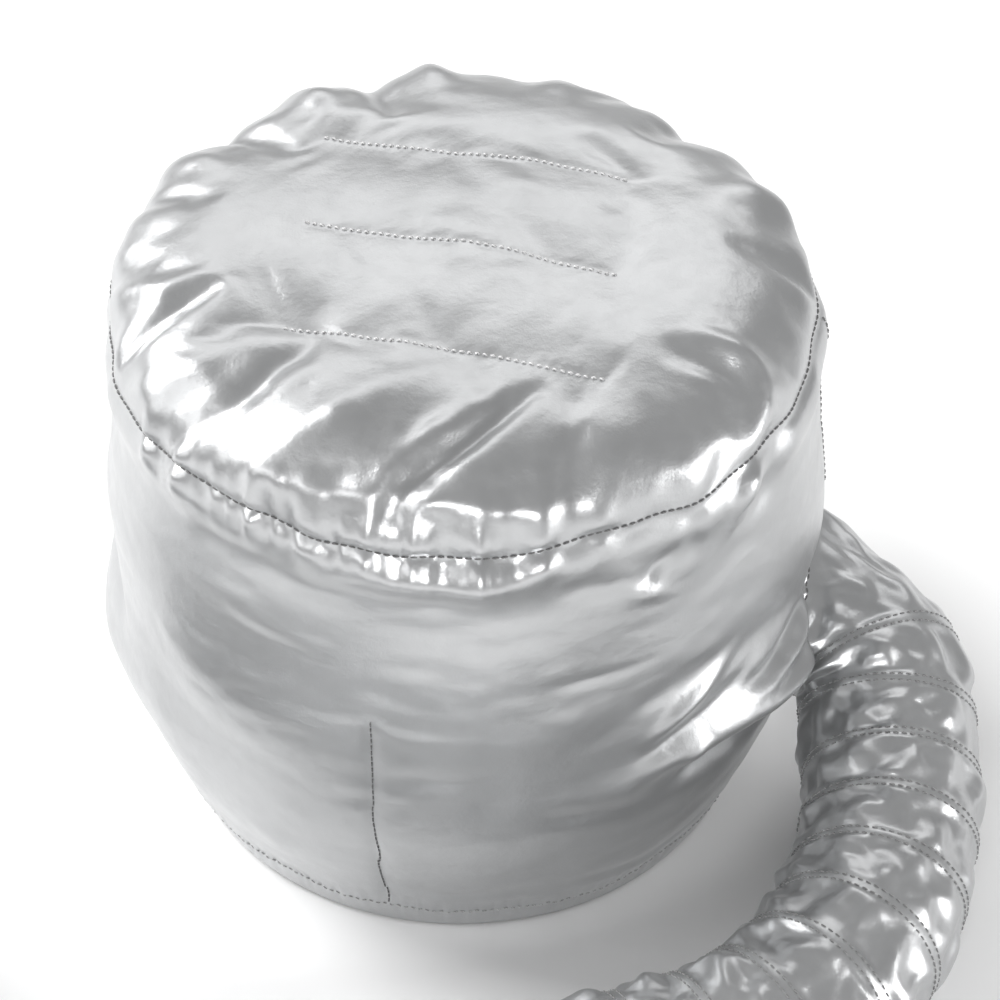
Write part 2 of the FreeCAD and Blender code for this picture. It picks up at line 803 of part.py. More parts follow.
def make_part():
    make_crown_panel()
    make_side_panel(inlet_cylinder("HoseOpening", cell("hose_radius") - cell("sleeve_cloth")))
    make_side_lining()
    make_crown_lining()
    make_hood_threads()
    hose = make_hose_sleeve(make_hood_core())
    make_hoops()
    make_inlet_tape(hose)
    make_inlet_thread()
    make_cuff()
    make_hem_casing(make_eyelet())
    make_drawcord()
    make_cord_end()
    make_cord_lock()


def check_part():
    failed = [item.Name for item in doc.Objects if {"Invalid", "Error"} & set(item.State)]
    if failed:
        raise RuntimeError(f"these objects failed: {failed}")
    for label, item in SUB_PARTS.items():
        if item.Shape.isNull() or not item.Shape.isValid() or not item.Shape.Solids:
            raise RuntimeError(f"{label} has no valid solid")


def write_parts():
    os.makedirs("parts", exist_ok=True)
    for label, item in SUB_PARTS.items():
        item.Shape.exportStep(f"parts/{label}.step")
        print(f"{label}: {len(item.Shape.Solids)} solids, {item.Shape.Volume:.0f} mm3")


make_part()
doc.recompute()
check_part()
write_parts()
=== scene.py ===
"""Soft bonnet hair dryer in silver coated cloth: the looks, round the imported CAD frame.

Lengths are in metres in the frame's own axes. The hood stands on its hem at the origin, and the hose
leaves it at +X.
"""

import math

import bmesh
import bpy
import numpy as np
from mathutils import Matrix, Vector, noise
from mathutils.bvhtree import BVHTree


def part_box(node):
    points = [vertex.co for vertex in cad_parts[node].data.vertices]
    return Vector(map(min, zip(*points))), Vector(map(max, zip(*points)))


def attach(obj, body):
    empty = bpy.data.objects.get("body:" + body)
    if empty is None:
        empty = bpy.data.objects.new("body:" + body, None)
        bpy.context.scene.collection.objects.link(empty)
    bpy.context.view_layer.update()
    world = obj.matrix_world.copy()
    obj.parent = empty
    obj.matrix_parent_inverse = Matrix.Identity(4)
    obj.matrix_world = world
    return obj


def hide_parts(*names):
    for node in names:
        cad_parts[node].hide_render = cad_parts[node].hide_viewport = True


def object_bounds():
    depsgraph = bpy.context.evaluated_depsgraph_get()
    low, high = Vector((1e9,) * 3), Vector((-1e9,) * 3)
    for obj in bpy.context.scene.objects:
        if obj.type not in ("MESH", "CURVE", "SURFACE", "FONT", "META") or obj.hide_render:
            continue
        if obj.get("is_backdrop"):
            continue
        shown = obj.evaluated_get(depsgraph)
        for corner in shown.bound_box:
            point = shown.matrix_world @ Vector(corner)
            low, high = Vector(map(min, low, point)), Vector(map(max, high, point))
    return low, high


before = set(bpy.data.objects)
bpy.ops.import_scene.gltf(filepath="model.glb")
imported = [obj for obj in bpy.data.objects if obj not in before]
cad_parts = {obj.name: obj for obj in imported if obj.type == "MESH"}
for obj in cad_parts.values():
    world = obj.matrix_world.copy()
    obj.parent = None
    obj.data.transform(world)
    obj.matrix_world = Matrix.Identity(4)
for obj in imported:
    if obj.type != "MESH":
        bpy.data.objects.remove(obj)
CAD_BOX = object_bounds()
HOOD = "hood"

# ---- sizes read from the frame


def radius_of(node):
    """Half of a node's width, for a node that is round about the hood's axis."""
    low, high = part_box(node)
    return (high[0] - low[0]) / 2


THREAD = 0.0004
SEAM_RADIUS = radius_of("crown_seam_thread") - 2 * THREAD
SEAM_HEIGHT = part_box("side_panel")[1][2]
CROWN_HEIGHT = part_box("crown_panel")[1][2]
BELLY_RADIUS = -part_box("side_panel")[0][0]
HEM_RADIUS = radius_of("hem_casing")
HEM_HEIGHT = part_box("hem_casing")[1][2]
HOSE_RADIUS = 0.037

# The hose's route, repeated from the CAD source.
HOSE_ROUTE = [
    (0.139, 0.003, 0.088),
    (0.176, -0.016, 0.069),
    (0.181, -0.060, 0.048),
    (0.177, -0.106, 0.040),
    (0.165, -0.152, 0.038),
    (0.138, -0.194, 0.038),
    (0.100, -0.224, 0.038),
    (0.050, -0.242, 0.038),
    (-0.022, -0.257, 0.038),
    (-0.104, -0.264, 0.038),
    (-0.186, -0.256, 0.038),
    (-0.252, -0.224, 0.038),
    (-0.296, -0.166, 0.038),
    (-0.314, -0.096, 0.038),
]
HOOP_PITCH = 0.030
FIRST_HOOP = 0.048

# ---- small helpers


def smooth(low, high, x):
    """Rises smoothly from 0 at low to 1 at high."""
    t = np.clip((np.asarray(x, float) - low) / (high - low), 0.0, 1.0)
    return t * t * (3 - 2 * t)


def bump(x, middle, width):
    """A rounded bump, 1 at the middle and nearly 0 two widths away."""
    return np.exp(-(((np.asarray(x, float) - middle) / width) ** 2))


def unit(vectors, least=0.0):
    """The vectors brought to a length of 1. least keeps one of no length from dividing by 0."""
    return vectors / (np.linalg.norm(vectors, axis=-1)[..., None] + least)


def full_turn(count):
    """Angles evenly spaced round a circle."""
    return np.arange(count) / count * 2 * math.pi


def polar(radius, turn, height):
    """Points at a radius and an angle about the hood's axis, and at a height."""
    return np.stack(np.broadcast_arrays(radius * np.cos(turn), radius * np.sin(turn), height), -1)


def degrees_from(azimuth, middle):
    """How far round an azimuth lies from a middle one, between -180 and 180."""
    return (azimuth - middle + 180) % 360 - 180


def distances_along(points):
    """Each point's distance from the start of the line they make."""
    return np.concatenate([[0.0], np.cumsum(np.linalg.norm(np.diff(points, axis=0), axis=1))])


def mesh_object(name, points, faces):
    """A smooth-shaded mesh in the scene."""
    mesh = bpy.data.meshes.new(name)
    mesh.from_pydata([tuple(p) for p in points], [], [tuple(f) for f in faces])
    mesh.update()
    mesh.polygons.foreach_set("use_smooth", [True] * len(mesh.polygons))
    item = bpy.data.objects.new(name, mesh)
    bpy.context.scene.collection.objects.link(item)
    return item


def read_all(parts, name, size=1, kind=int):
    """What every vertex, corner or face of a mesh has under a name, as rows of size numbers."""
    flat = np.empty(len(parts) * size, kind)
    parts.foreach_get(name, flat)
    return flat if size == 1 else flat.reshape(-1, size)


def grid_faces(rows, columns, closed=True):
    """Faces of a grid whose points run along a row first. closed joins each row's end to its start."""
    faces = []
    for i in range(rows - 1):
        for j in range(columns if closed else columns - 1):
            k = (j + 1) % columns
            faces.append((i * columns + j, i * columns + k, (i + 1) * columns + k, (i + 1) * columns + j))
    return faces


def loop_faces(rows, columns):
    """Faces of a grid that closes on itself both ways."""
    return [tuple(k % (rows * columns) for k in face) for face in grid_faces(rows + 1, columns)]


def keep_used(faces, *arrays):
    """Faces numbered over the points they use, and arrays cut down to those points."""
    faces = np.array(faces)
    members = np.unique(faces)
    renumber = np.zeros(members[-1] + 1, int)
    renumber[members] = np.arange(len(members))
    return (renumber[faces], *(array[members] for array in arrays))


def nurbs_points(places, resolution, cyclic=False):
    """Points along the smooth line drawn by places."""
    curve = bpy.data.curves.new("route", "CURVE")
    curve.dimensions = "3D"
    curve.resolution_u = resolution
    spline = curve.splines.new("NURBS")
    spline.points.add(len(places) - 1)
    for point, place in zip(spline.points, places):
        point.co = (*place, 1.0)
    spline.order_u = 3
    spline.use_endpoint_u = not cyclic
    spline.use_cyclic_u = cyclic
    item = bpy.data.objects.new("route", curve)
    bpy.context.scene.collection.objects.link(item)
    mesh = bpy.data.meshes.new_from_object(item.evaluated_get(bpy.context.evaluated_depsgraph_get()))
    points = read_all(mesh.vertices, "co", 3, float)
    bpy.data.meshes.remove(mesh)
    bpy.data.objects.remove(item)
    return points


def add_looking(name, data, place, way):
    """Puts a camera or a lamp at a place, looking along a way."""
    item = bpy.data.objects.new(name, data)
    bpy.context.scene.collection.objects.link(item)
    item.location = place
    item.rotation_mode = "QUATERNION"
    item.rotation_quaternion = way.to_track_quat("-Z", "Y")
    return item


def apply_modifiers(item):
    """Turns what the modifiers make into the piece's own mesh."""
    evaluated = item.evaluated_get(bpy.context.evaluated_depsgraph_get())
    made = bpy.data.meshes.new_from_object(evaluated)
    old = item.data
    item.modifiers.clear()
    item.data = made
    bpy.data.meshes.remove(old)


def adopt(item, material, body=HOOD, replaces=()):
    """Gives a finished piece its material and its body."""
    item.data.materials.clear()
    item.data.materials.append(material)
    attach(item, body)
    if replaces:
        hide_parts(*replaces)
    return item


# ---- camera

CAMERA_AIM = Vector((0.0, 0.0, 0.110))
CAMERA_RISE = math.radians(42.0)
CAMERA_DISTANCE = 1.6
CAMERA_LENS = 136.9
CAMERA_SHIFT = 0.039


def make_camera():
    """Looks down at the hood from the front. The shift sets the object left of and below the middle."""
    data = bpy.data.cameras.new("camera")
    data.lens = CAMERA_LENS
    data.sensor_width = 36.0
    data.shift_x = data.shift_y = CAMERA_SHIFT
    data.clip_start, data.clip_end = 0.05, 30.0
    back = Vector((0.0, -math.cos(CAMERA_RISE), math.sin(CAMERA_RISE)))
    camera = add_looking("camera", data, CAMERA_AIM + back * CAMERA_DISTANCE, -back)
    bpy.context.scene.camera = camera


make_camera()

# ---- materials


class Nodes:
    """A short way to write a material's node tree."""

    def __init__(self, name):
        self.material = bpy.data.materials.new(name)
        self.material.use_nodes = True
        self.tree = self.material.node_tree
        self.skin = self.tree.nodes["Principled BSDF"]
        self.place = self.add("ShaderNodeTexCoord").outputs["Object"]

    def add(self, kind, **values):
        """A node, with values for its inputs and its settings."""
        node = self.tree.nodes.new(kind)
        for name, value in values.items():
            if name in node.inputs:
                self.feed(node.inputs[name], value)
            else:
                setattr(node, name, value)
        return node

    def feed(self, socket, value):
        if isinstance(value, bpy.types.NodeSocket):
            self.tree.links.new(value, socket)
        else:
            socket.default_value = value

    def set(self, **values):
        """Sets inputs of the surface shader."""
        for name, value in values.items():
            self.feed(self.skin.inputs[name.replace("_", " ")], value)

    def noise(self, scale, detail=3.0, roughness=0.5):
        node = self.add("ShaderNodeTexNoise", Vector=self.place, Scale=scale, Detail=detail)
        self.feed(node.inputs["Roughness"], roughness)
        return node.outputs["Fac"]

    def spread(self, value, low, high, to_low=0.0, to_high=1.0):
        """The value, with low to high drawn out to to_low to to_high."""
        ends = {"From Min": low, "From Max": high, "To Min": to_low, "To Max": to_high}
        return self.add("ShaderNodeMapRange", Value=value, **ends).outputs["Result"]

    def sum(self, a, b, operation="ADD"):
        node = self.add("ShaderNodeMath", operation=operation)
        self.feed(node.inputs[0], a)
        self.feed(node.inputs[1], b)
        return node.outputs["Value"]

    def mix(self, factor, a, b):
        node = self.add("ShaderNodeMix", data_type="RGBA")
        for name, value in (("Factor", factor), ("A", a), ("B", b)):
            self.feed(node.inputs[name], value)
        return node.outputs["Result"]

    def bump(self, height, strength, distance, normal=None):
        node = self.add("ShaderNodeBump", Strength=strength, Distance=distance, Height=height)
        if normal:
            self.feed(node.inputs["Normal"], normal)
        return node.outputs["Normal"]

    def weave(self, threads):
        """A plain weave from the surface's own position: fine ribs crossed over each other."""
        uv = self.add("ShaderNodeUVMap").outputs["UV"]
        warp, weft = (
            self.add("ShaderNodeTexWave", Vector=uv, Scale=threads, Distortion=0.4, bands_direction=way)
            for way in "XY")
        return self.sum(warp.outputs["Fac"], weft.outputs["Fac"], "MULTIPLY")


def grey(value):
    return (value, value, value, 1.0)


SILVER_SHADES = (0.458, 0.464, 0.470, 1), (0.518, 0.524, 0.530, 1)


def silver_cloth(name, creasing=1.0):
    """Aluminised coating on thin nylon: satin silver, finely creased, with the weave just showing."""
    m = Nodes(name)
    cloudy = m.noise(9.0, 4.0, 0.6)
    worn = m.noise(160.0, 3.0, 0.6)
    colour = m.mix(m.spread(cloudy, 0.35, 0.65), *SILVER_SHADES)
    rough = m.sum(m.spread(worn, 0.3, 0.7, -0.03, 0.04), 0.31)
    m.set(Base_Color=colour, Metallic=0.84, Roughness=rough)
    m.set(Sheen_Weight=0.08, Sheen_Roughness=0.5)
    crumple = m.noise(38.0, 5.0, 0.62)
    grain = m.noise(900.0, 2.0, 0.5)
    normal = m.bump(crumple, 0.16 * creasing, 0.004)
    normal = m.bump(grain, 0.08, 0.0004, normal)
    normal = m.bump(m.weave(900.0), 0.09, 0.0003, normal)
    m.set(Normal=normal)
    return m.material


def plain_cloth(name, value):
    """Uncoated woven cloth, for the linings."""
    m = Nodes(name)
    shade = m.spread(m.noise(30.0, 4.0), 0.3, 0.7)
    m.set(Base_Color=m.mix(shade, grey(value * 0.9), grey(value)), Roughness=0.85)
    m.set(Sheen_Weight=0.25, Sheen_Roughness=0.4)
    normal = m.bump(m.noise(60.0, 4.0), 0.3, 0.003)
    m.set(Normal=m.bump(m.weave(700.0), 0.35, 0.0004, normal))
    return m.material


def thread_material(name, value):
    """Twisted sewing thread."""
    m = Nodes(name)
    wave = m.add("ShaderNodeTexWave", Vector=m.place, Scale=420.0, Distortion=1.5, bands_direction="DIAGONAL")
    twist = wave.outputs["Fac"]
    m.set(Base_Color=m.mix(twist, grey(value * 0.6), grey(value)), Roughness=0.6)
    m.set(Sheen_Weight=0.3, Normal=m.bump(twist, 0.5, 0.0003))
    return m.material


def braid_material(name, value):
    """Braided cord: small cells, dark between them."""
    m = Nodes(name)
    cells = m.add("ShaderNodeTexVoronoi", Vector=m.place, Scale=900.0).outputs["Distance"]
    m.set(Base_Color=m.mix(cells, grey(value), grey(value * 0.55)), Roughness=0.7)
    m.set(Sheen_Weight=0.3, Normal=m.bump(cells, 0.6, 0.0005))
    return m.material


def plastic(name, value):
    m = Nodes(name)
    grain = m.noise(1400.0, 2.0, 0.6)
    m.set(Base_Color=m.mix(m.noise(60.0), grey(value * 0.92), grey(value)))
    m.set(Roughness=m.spread(grain, 0.3, 0.7, 0.38, 0.52), Coat_Weight=0.05)
    m.set(Normal=m.bump(grain, 0.15, 0.0003))
    return m.material


def metal(name, value, rough):
    m = Nodes(name)
    scratch = m.noise(700.0, 5.0, 0.7)
    m.set(Base_Color=grey(value), Metallic=1.0, Roughness=m.spread(scratch, 0.3, 0.7, rough, rough + 0.12))
    m.set(Normal=m.bump(scratch, 0.08, 0.0002))
    return m.material


SILVER = silver_cloth("silver_cloth")
HOSE_SILVER = silver_cloth("hose_silver_cloth", 0.6)
LINING = plain_cloth("lining_cloth", 0.72)
THREAD_GREY = thread_material("sewing_thread", 0.42)
ELASTIC = braid_material("elastic", 0.8)
CORD = braid_material("drawcord", 0.5)
GREY_PLASTIC = plastic("grey_plastic", 0.35)
DARK_PLASTIC = plastic("dark_plastic", 0.06)
STEEL = metal("spring_steel", 0.6, 0.22)
EYELET = metal("eyelet_metal", 0.78, 0.15)
THREAD_DARK = thread_material("dark_sewing_thread", 0.16)
THREAD_WHITE = thread_material("pale_sewing_thread", 0.8)
HOOP_THREAD = thread_material("hoop_thread", 0.28)
HOOP_WIRE = metal("hoop_wire", 0.5, 0.3)

# ---- hose line


class Line:
    """A smooth line through space with a steady frame along it, by distance from its start."""

    def __init__(self, points):
        self.points = points
        self.distance = distances_along(points)
        self.length = float(self.distance[-1])
        self.forward = unit(np.gradient(points, self.distance, axis=0))
        side = Vector(np.cross(self.forward[0], (0, 0, 1))).normalized()
        sides = [side]
        for before, after in zip(self.forward, self.forward[1:]):
            side = Vector(before).rotation_difference(Vector(after)) @ side
            sides.append(side.normalized())
        self.side = np.array([tuple(s) for s in sides])
        self.up = np.cross(self.side, self.forward)

    def read(self, values, distance):
        """What a table kept by distance along the line says at distances."""
        distance = np.asarray(distance, float)
        return np.stack([np.interp(distance, self.distance, values[:, k]) for k in range(3)], -1)

    def at(self, distance, across=0.0, above=0.0):
        """Points at distances along the line, moved off it across and above."""
        across, above = np.asarray(across)[..., None], np.asarray(above)[..., None]
        distance = np.asarray(distance, float)
        beyond = np.clip(distance, None, 0.0) + np.clip(distance - self.length, 0.0, None)
        place = self.read(self.points, distance) + beyond[..., None] * self.read(self.forward, distance)
        return place + across * self.read(self.side, distance) + above * self.read(self.up, distance)


HOSE = Line(nurbs_points(HOSE_ROUTE, 24))
HOSE_WAY = HOSE.read(HOSE.forward, 0.0)
HOSE_START = HOSE.points[0]
TOP_SQUEEZE = 0.40  # the side seam gathers the mouth's top down by this share of its height
TOP_SQUEEZE_REACH = 0.075


def squeeze_top(above, distance):
    """Heights over the hose's line, lowered near the mouth where they are above it."""
    near = 1 - smooth(0.0, TOP_SQUEEZE_REACH, np.asarray(distance))
    return above - TOP_SQUEEZE * near * np.maximum(above, 0.0)


# ---- cloth by simulation

SIM_SCALE = 10.0  # cloth is worked out ten times its size, where the solver behaves best


def settle(name, points, faces, rest, held, frames, pressure, bending, stiffness):
    """Lets cloth find its folds. rest is the shape it was cut to, and held points stay where they are."""
    item = mesh_object(name, points * SIM_SCALE, faces)
    item.shape_key_add(name="start")
    cut = item.shape_key_add(name="cut")
    cut.data.foreach_set("co", (rest * SIM_SCALE).ravel())
    group = item.vertex_groups.new(name="held")
    for index in np.nonzero(held > 0)[0]:
        group.add([int(index)], float(held[index]), "REPLACE")
    cloth = item.modifiers.new("cloth", "CLOTH")
    rules = cloth.settings
    rules.quality = 5
    rules.mass = 0.15
    rules.air_damping = 3.0
    rules.tension_stiffness = stiffness
    rules.compression_stiffness = stiffness
    rules.shear_stiffness = stiffness * 0.4
    rules.bending_stiffness = bending
    rules.tension_damping = 5.0
    rules.compression_damping = 5.0
    rules.vertex_group_mass = "held"
    rules.pin_stiffness = 1.0
    rules.rest_shape_key = cut
    rules.use_pressure = pressure != 0
    rules.uniform_pressure_force = pressure
    rules.effector_weights.gravity = 0.0
    cloth.collision_settings.use_collision = False
    cloth.collision_settings.use_self_collision = False
    cloth.point_cache.frame_start = 1
    cloth.point_cache.frame_end = frames
    scene = bpy.context.scene
    for step in range(1, frames + 1):
        scene.frame_set(step)
    evaluated = item.evaluated_get(bpy.context.evaluated_depsgraph_get())
    found = read_all(evaluated.data.vertices, "co", 3, float)
    scene.frame_set(1)
    bpy.data.objects.remove(item)
    return found / SIM_SCALE


def give_uv(item, uv, wrap=0.0):
    """Lays each point's own (u, v) on the mesh. wrap is u's full turn, where the grid closes on itself."""
    mesh = item.data
    laid = np.asarray(uv, float)[read_all(mesh.loops, "vertex_index")]
    if wrap:
        starts = read_all(mesh.polygons, "loop_start")
        counts = read_all(mesh.polygons, "loop_total")
        highest = np.maximum.reduceat(laid[:, 0], starts)
        face_of = np.repeat(np.arange(len(starts)), counts)
        behind = highest[face_of] - laid[:, 0] > wrap / 2
        laid[behind, 0] += wrap
    layer = mesh.uv_layers.new(name="cloth")
    layer.data.foreach_set("uv", laid.ravel())


def refine(item):
    """Smooths a cloth mesh by dividing each face in four."""
    smoother = item.modifiers.new("smooth", "SUBSURF")
    smoother.levels = smoother.render_levels = 1
    apply_modifiers(item)
    item.data.polygons.foreach_set("use_smooth", [True] * len(item.data.polygons))


def facets(around, along, turn_length, cell, seed):
    """Heights between -1 and 1 on a tube of cloth laid flat, made of flat facets as in crumpled foil."""
    columns = max(4, round(turn_length / cell))
    rows = int(np.max(along) / cell) + 4
    chance = np.random.default_rng(seed)
    wobble = chance.uniform(-0.4, 0.4, (rows, columns, 2))
    heights = chance.uniform(-1, 1, (rows, columns))
    column, row = np.meshgrid(np.arange(-1, columns + 2), np.arange(rows))
    pick = column % columns
    u = (column + wobble[row, pick, 0]) * turn_length / columns
    v = (row - 1.5 + wobble[row, pick, 1]) * cell
    corners = [Vector(p) for p in zip(u.ravel(), v.ravel(), heights[row, pick].ravel())]
    faces = []
    for a, b, c, d in grid_faces(rows, columns + 3, closed=False):
        faces += [(a, b, c), (a, c, d)] if chance.random() < 0.5 else [(a, b, d), (b, c, d)]
    tree = BVHTree.FromPolygons(corners, faces)
    found = [tree.ray_cast(Vector((x, y, 2.0)), Vector((0, 0, -1)))[0] for x, y in zip(around, along)]
    return np.array([place.z if place else 0.0 for place in found])


def fine_noise(points, scale, seed):
    """Blender's smooth noise at each point, between about -0.5 and 0.5."""
    offset = Vector((seed * 7.3, seed * 3.1, seed * 1.7))
    return np.array([noise.noise(Vector(p) * scale + offset) for p in points])


# ---- the hood's surface


class Surface:
    """The hood's outer face, turned about its axis: the side panel up to the seam, then the crown."""

    def __init__(self):
        lower = self.arc((HEM_RADIUS, HEM_HEIGHT), (BELLY_RADIUS, BELLY_HEIGHT), LOWER_BOW)
        upper = self.arc((BELLY_RADIUS, BELLY_HEIGHT), (SEAM_RADIUS, SEAM_HEIGHT), UPPER_BOW)[1:]
        foot = (HEM_RADIUS + FOOT_CLEARANCE, FOOT_HEIGHT)
        skirt = (HEM_RADIUS + SKIRT_CLEARANCE, HEM_HEIGHT)
        self.side = Profile([foot, skirt] + [p for p in lower if p[1] > FLARE_HEIGHT] + upper)
        self.tucked = Profile([foot] + lower + upper)
        flat = (CROWN_FLAT_RADIUS, CROWN_FLAT_HEIGHT)
        crown = [(0.0, CROWN_HEIGHT)]
        crown += self.arc((CROWN_MIDDLE, CROWN_HEIGHT), flat, CROWN_DOME)
        crown += self.arc(flat, (SEAM_RADIUS, SEAM_HEIGHT), CROWN_ROLL)[1:]
        self.crown = Profile(crown)

    @staticmethod
    def arc(start, finish, radius, steps=24):
        """Points of the arc between two (radius, height) corners. It bulges away from the hood's middle."""
        start, finish = np.array(start), np.array(finish)
        half = (finish - start) / 2
        outward = np.array([half[1], -half[0]]) / np.linalg.norm(half)
        if outward[0] < 0 or (abs(outward[0]) < 0.3 and outward[1] < 0):
            outward = -outward
        centre = (start + finish) / 2 - outward * math.sqrt(radius**2 - half @ half)
        angles = [math.atan2(*(p - centre)[::-1]) for p in (start, finish)]
        return [tuple(centre + radius * np.array([math.cos(a), math.sin(a)]))
                for a in np.linspace(*angles, steps + 1)]

    def side_radius(self, height):
        """The side panel's radius at heights."""
        return np.interp(height, self.side.heights, self.side.radii)


class Profile:
    """A line of (radius, height) points, read by distance from its start."""

    def __init__(self, points):
        self.radii, self.heights = np.array(points).T
        steps = np.hypot(np.diff(self.radii), np.diff(self.heights))
        self.distance = np.concatenate([[0.0], np.cumsum(steps)])
        self.length = float(self.distance[-1])

    def at(self, distance):
        """Radii and heights at distances along the line."""
        return [np.interp(distance, self.distance, values) for values in (self.radii, self.heights)]


BELLY_HEIGHT = 0.084
FOOT_HEIGHT = 0.0008
FOOT_CLEARANCE = 0.0003
SKIRT_CLEARANCE = 0.0048
FLARE_HEIGHT = 0.030  # below this the side panel falls straight to the table, over its hem
LOWER_BOW = 0.115
UPPER_BOW = 1.4
CROWN_FLAT_RADIUS = 0.114
CROWN_FLAT_HEIGHT = 0.258
CROWN_MIDDLE = 0.012
CROWN_DOME = 0.816
CROWN_ROLL = 0.028
SURFACE = Surface()


def meet_hood(points, lift=0.0):
    """Slides points along the hose's first direction until they lie on the side panel's face."""
    points = np.array(points, float)
    for _ in range(25):
        reach = np.hypot(points[:, 0], points[:, 1])
        target = SURFACE.side_radius(points[:, 2]) + lift
        slope = (points[:, 0] * HOSE_WAY[0] + points[:, 1] * HOSE_WAY[1]) / reach
        points += ((target - reach) / slope)[:, None] * HOSE_WAY
    return points


# ---- hose sleeve

HOSE_COLUMNS = 120
ROW_PITCH = 0.0021
CHANNEL = 0.0022  # half of the width of the band that holds a hoop
FABRIC_SHARE = 1.36  # the sleeve's cloth is this much longer than the hose
ROUND_SHARE = 1.04
FREE_SWELL = 0.0008  # how far the cloth starts out between two hoops
CUFF_START = HOSE.length


def hoop_places():
    """Distances of the hoops along the hose, evenly spaced from the first to near the cuff."""
    count = int((CUFF_START - FIRST_HOOP) / HOOP_PITCH)
    return FIRST_HOOP + HOOP_PITCH * np.arange(count + 1)


HOOPS = hoop_places()
LEAN = 0.009  # how far the first hoop leans: its outer side lies further along the hose than its middle


def hoop_line(distance, across):
    """Distances along the hose of a hoop's points, by how far across they are, from -1 to 1."""
    return distance - LEAN * (1 - smooth(0.04, 0.12, distance)) * np.asarray(across)


# The sleeve's facets, as (height, size, seed).
FACETS = (0.0028, 0.0190, 8), (0.0007, 0.0080, 9)


def crumple(rows, cut, held, swell, turns):
    """Sharp creases for the sleeve, deepest on the inside of the bend, where there is spare cloth."""
    across, above = np.cos(turns), np.sin(turns)
    out = HOSE.at(rows, across, above) - HOSE.at(rows)
    away = unit(HOSE.at(rows) * (1, 1, 0))
    stretched = np.clip(np.sum(out * away, -1) * 1.5, 0, 1)
    loose = np.where(held > 0, 0.0, np.sqrt(np.clip(swell / FREE_SWELL, 0, 1)))[:, None]
    around = np.broadcast_to(turns * HOSE_RADIUS, rows.shape).ravel()
    along = np.broadcast_to(cut[:, None], rows.shape).ravel()
    full = 2 * math.pi * HOSE_RADIUS
    high = sum(height * facets(around, along, full, size, seed) for height, size, seed in FACETS)
    high = high.reshape(rows.shape) * loose * (1 - 0.55 * stretched)
    return (out * high[..., None]).reshape(-1, 3)


def make_sleeve():
    """A straight tube of cloth, bent round the route: it crumples on the inside of each bend.
    Two stitch lines beside each hoop hold it to the wire."""
    turns = full_turn(HOSE_COLUMNS)
    across, above = np.cos(turns), np.sin(turns)
    ring = HOSE.at(0.0, across * HOSE_RADIUS, squeeze_top(above * HOSE_RADIUS, 0.0))
    start = (meet_hood(ring, -0.0006) - HOSE_START) @ HOSE_WAY
    rows, cut, held, swell = [], [], [], []

    def lay(low, high, fabric, steps, sewn):
        base = cut[-1] if cut else 0.0
        for i in range(0 if not rows else 1, steps + 1):
            share = i / steps
            rows.append(low + (high - low) * share)
            cut.append(base + fabric * share)
            held.append(1.0 if sewn or i in (0, steps) else 0.0)
            swell.append((0.0004 if sewn else FREE_SWELL) * math.sin(math.pi * share))

    before = start
    for place in HOOPS:
        edge = hoop_line(place, across) - CHANNEL
        length = float(np.mean(edge - before))
        lay(before, edge, length * FABRIC_SHARE, max(4, round(length / ROW_PITCH)), False)
        before = edge + 2 * CHANNEL
        lay(edge, before, 2 * CHANNEL, 2, True)
    length = CUFF_START - HOOPS[-1] - CHANNEL
    end = np.full(HOSE_COLUMNS, CUFF_START)
    lay(before, end, length * FABRIC_SHARE, max(3, round(length / ROW_PITCH)), False)
    rows, cut, held, swell = (np.array(values) for values in (rows, cut, held, swell))
    place = np.stack(np.broadcast_arrays(rows * 75, across * 2.6, above * 2.6), -1).reshape(-1, 3)
    wave = fine_noise(place, 1.0, 3).reshape(rows.shape)
    radius = HOSE_RADIUS + swell[:, None] + 0.004 * wave * (1 - held[:, None])
    points = HOSE.at(rows, radius * across, squeeze_top(radius * above, rows))
    tube = HOSE_RADIUS * ROUND_SHARE
    cut_shape = np.stack(np.broadcast_arrays(tube * across, tube * above, cut[:, None]), -1)
    faces = grid_faces(len(rows), HOSE_COLUMNS)
    settled = settle("sleeve_cloth", points.reshape(-1, 3), faces, cut_shape.reshape(-1, 3),
                     np.repeat(held, HOSE_COLUMNS), frames=26, pressure=0.30, bending=0.02, stiffness=20.0)
    settled += crumple(rows, cut, held, swell, turns)
    settled[:, 2] = np.maximum(settled[:, 2], 0.0008)
    item = mesh_object("hose_sleeve_cloth", settled, faces)
    uv = np.stack(np.broadcast_arrays(turns * HOSE_RADIUS, cut[:, None]), -1).reshape(-1, 2)
    give_uv(item, uv, 2 * math.pi * HOSE_RADIUS)
    refine(item)
    return adopt(item, HOSE_SILVER, replaces=("hose_sleeve",))


SLEEVE = make_sleeve()

# ---- the hood's cloth

COLUMNS = 384
CROWN_CELLS = COLUMNS // 4
SIDE_ROWS = 92
INLET_CELLS = 16
INLET_REACH = 2.6

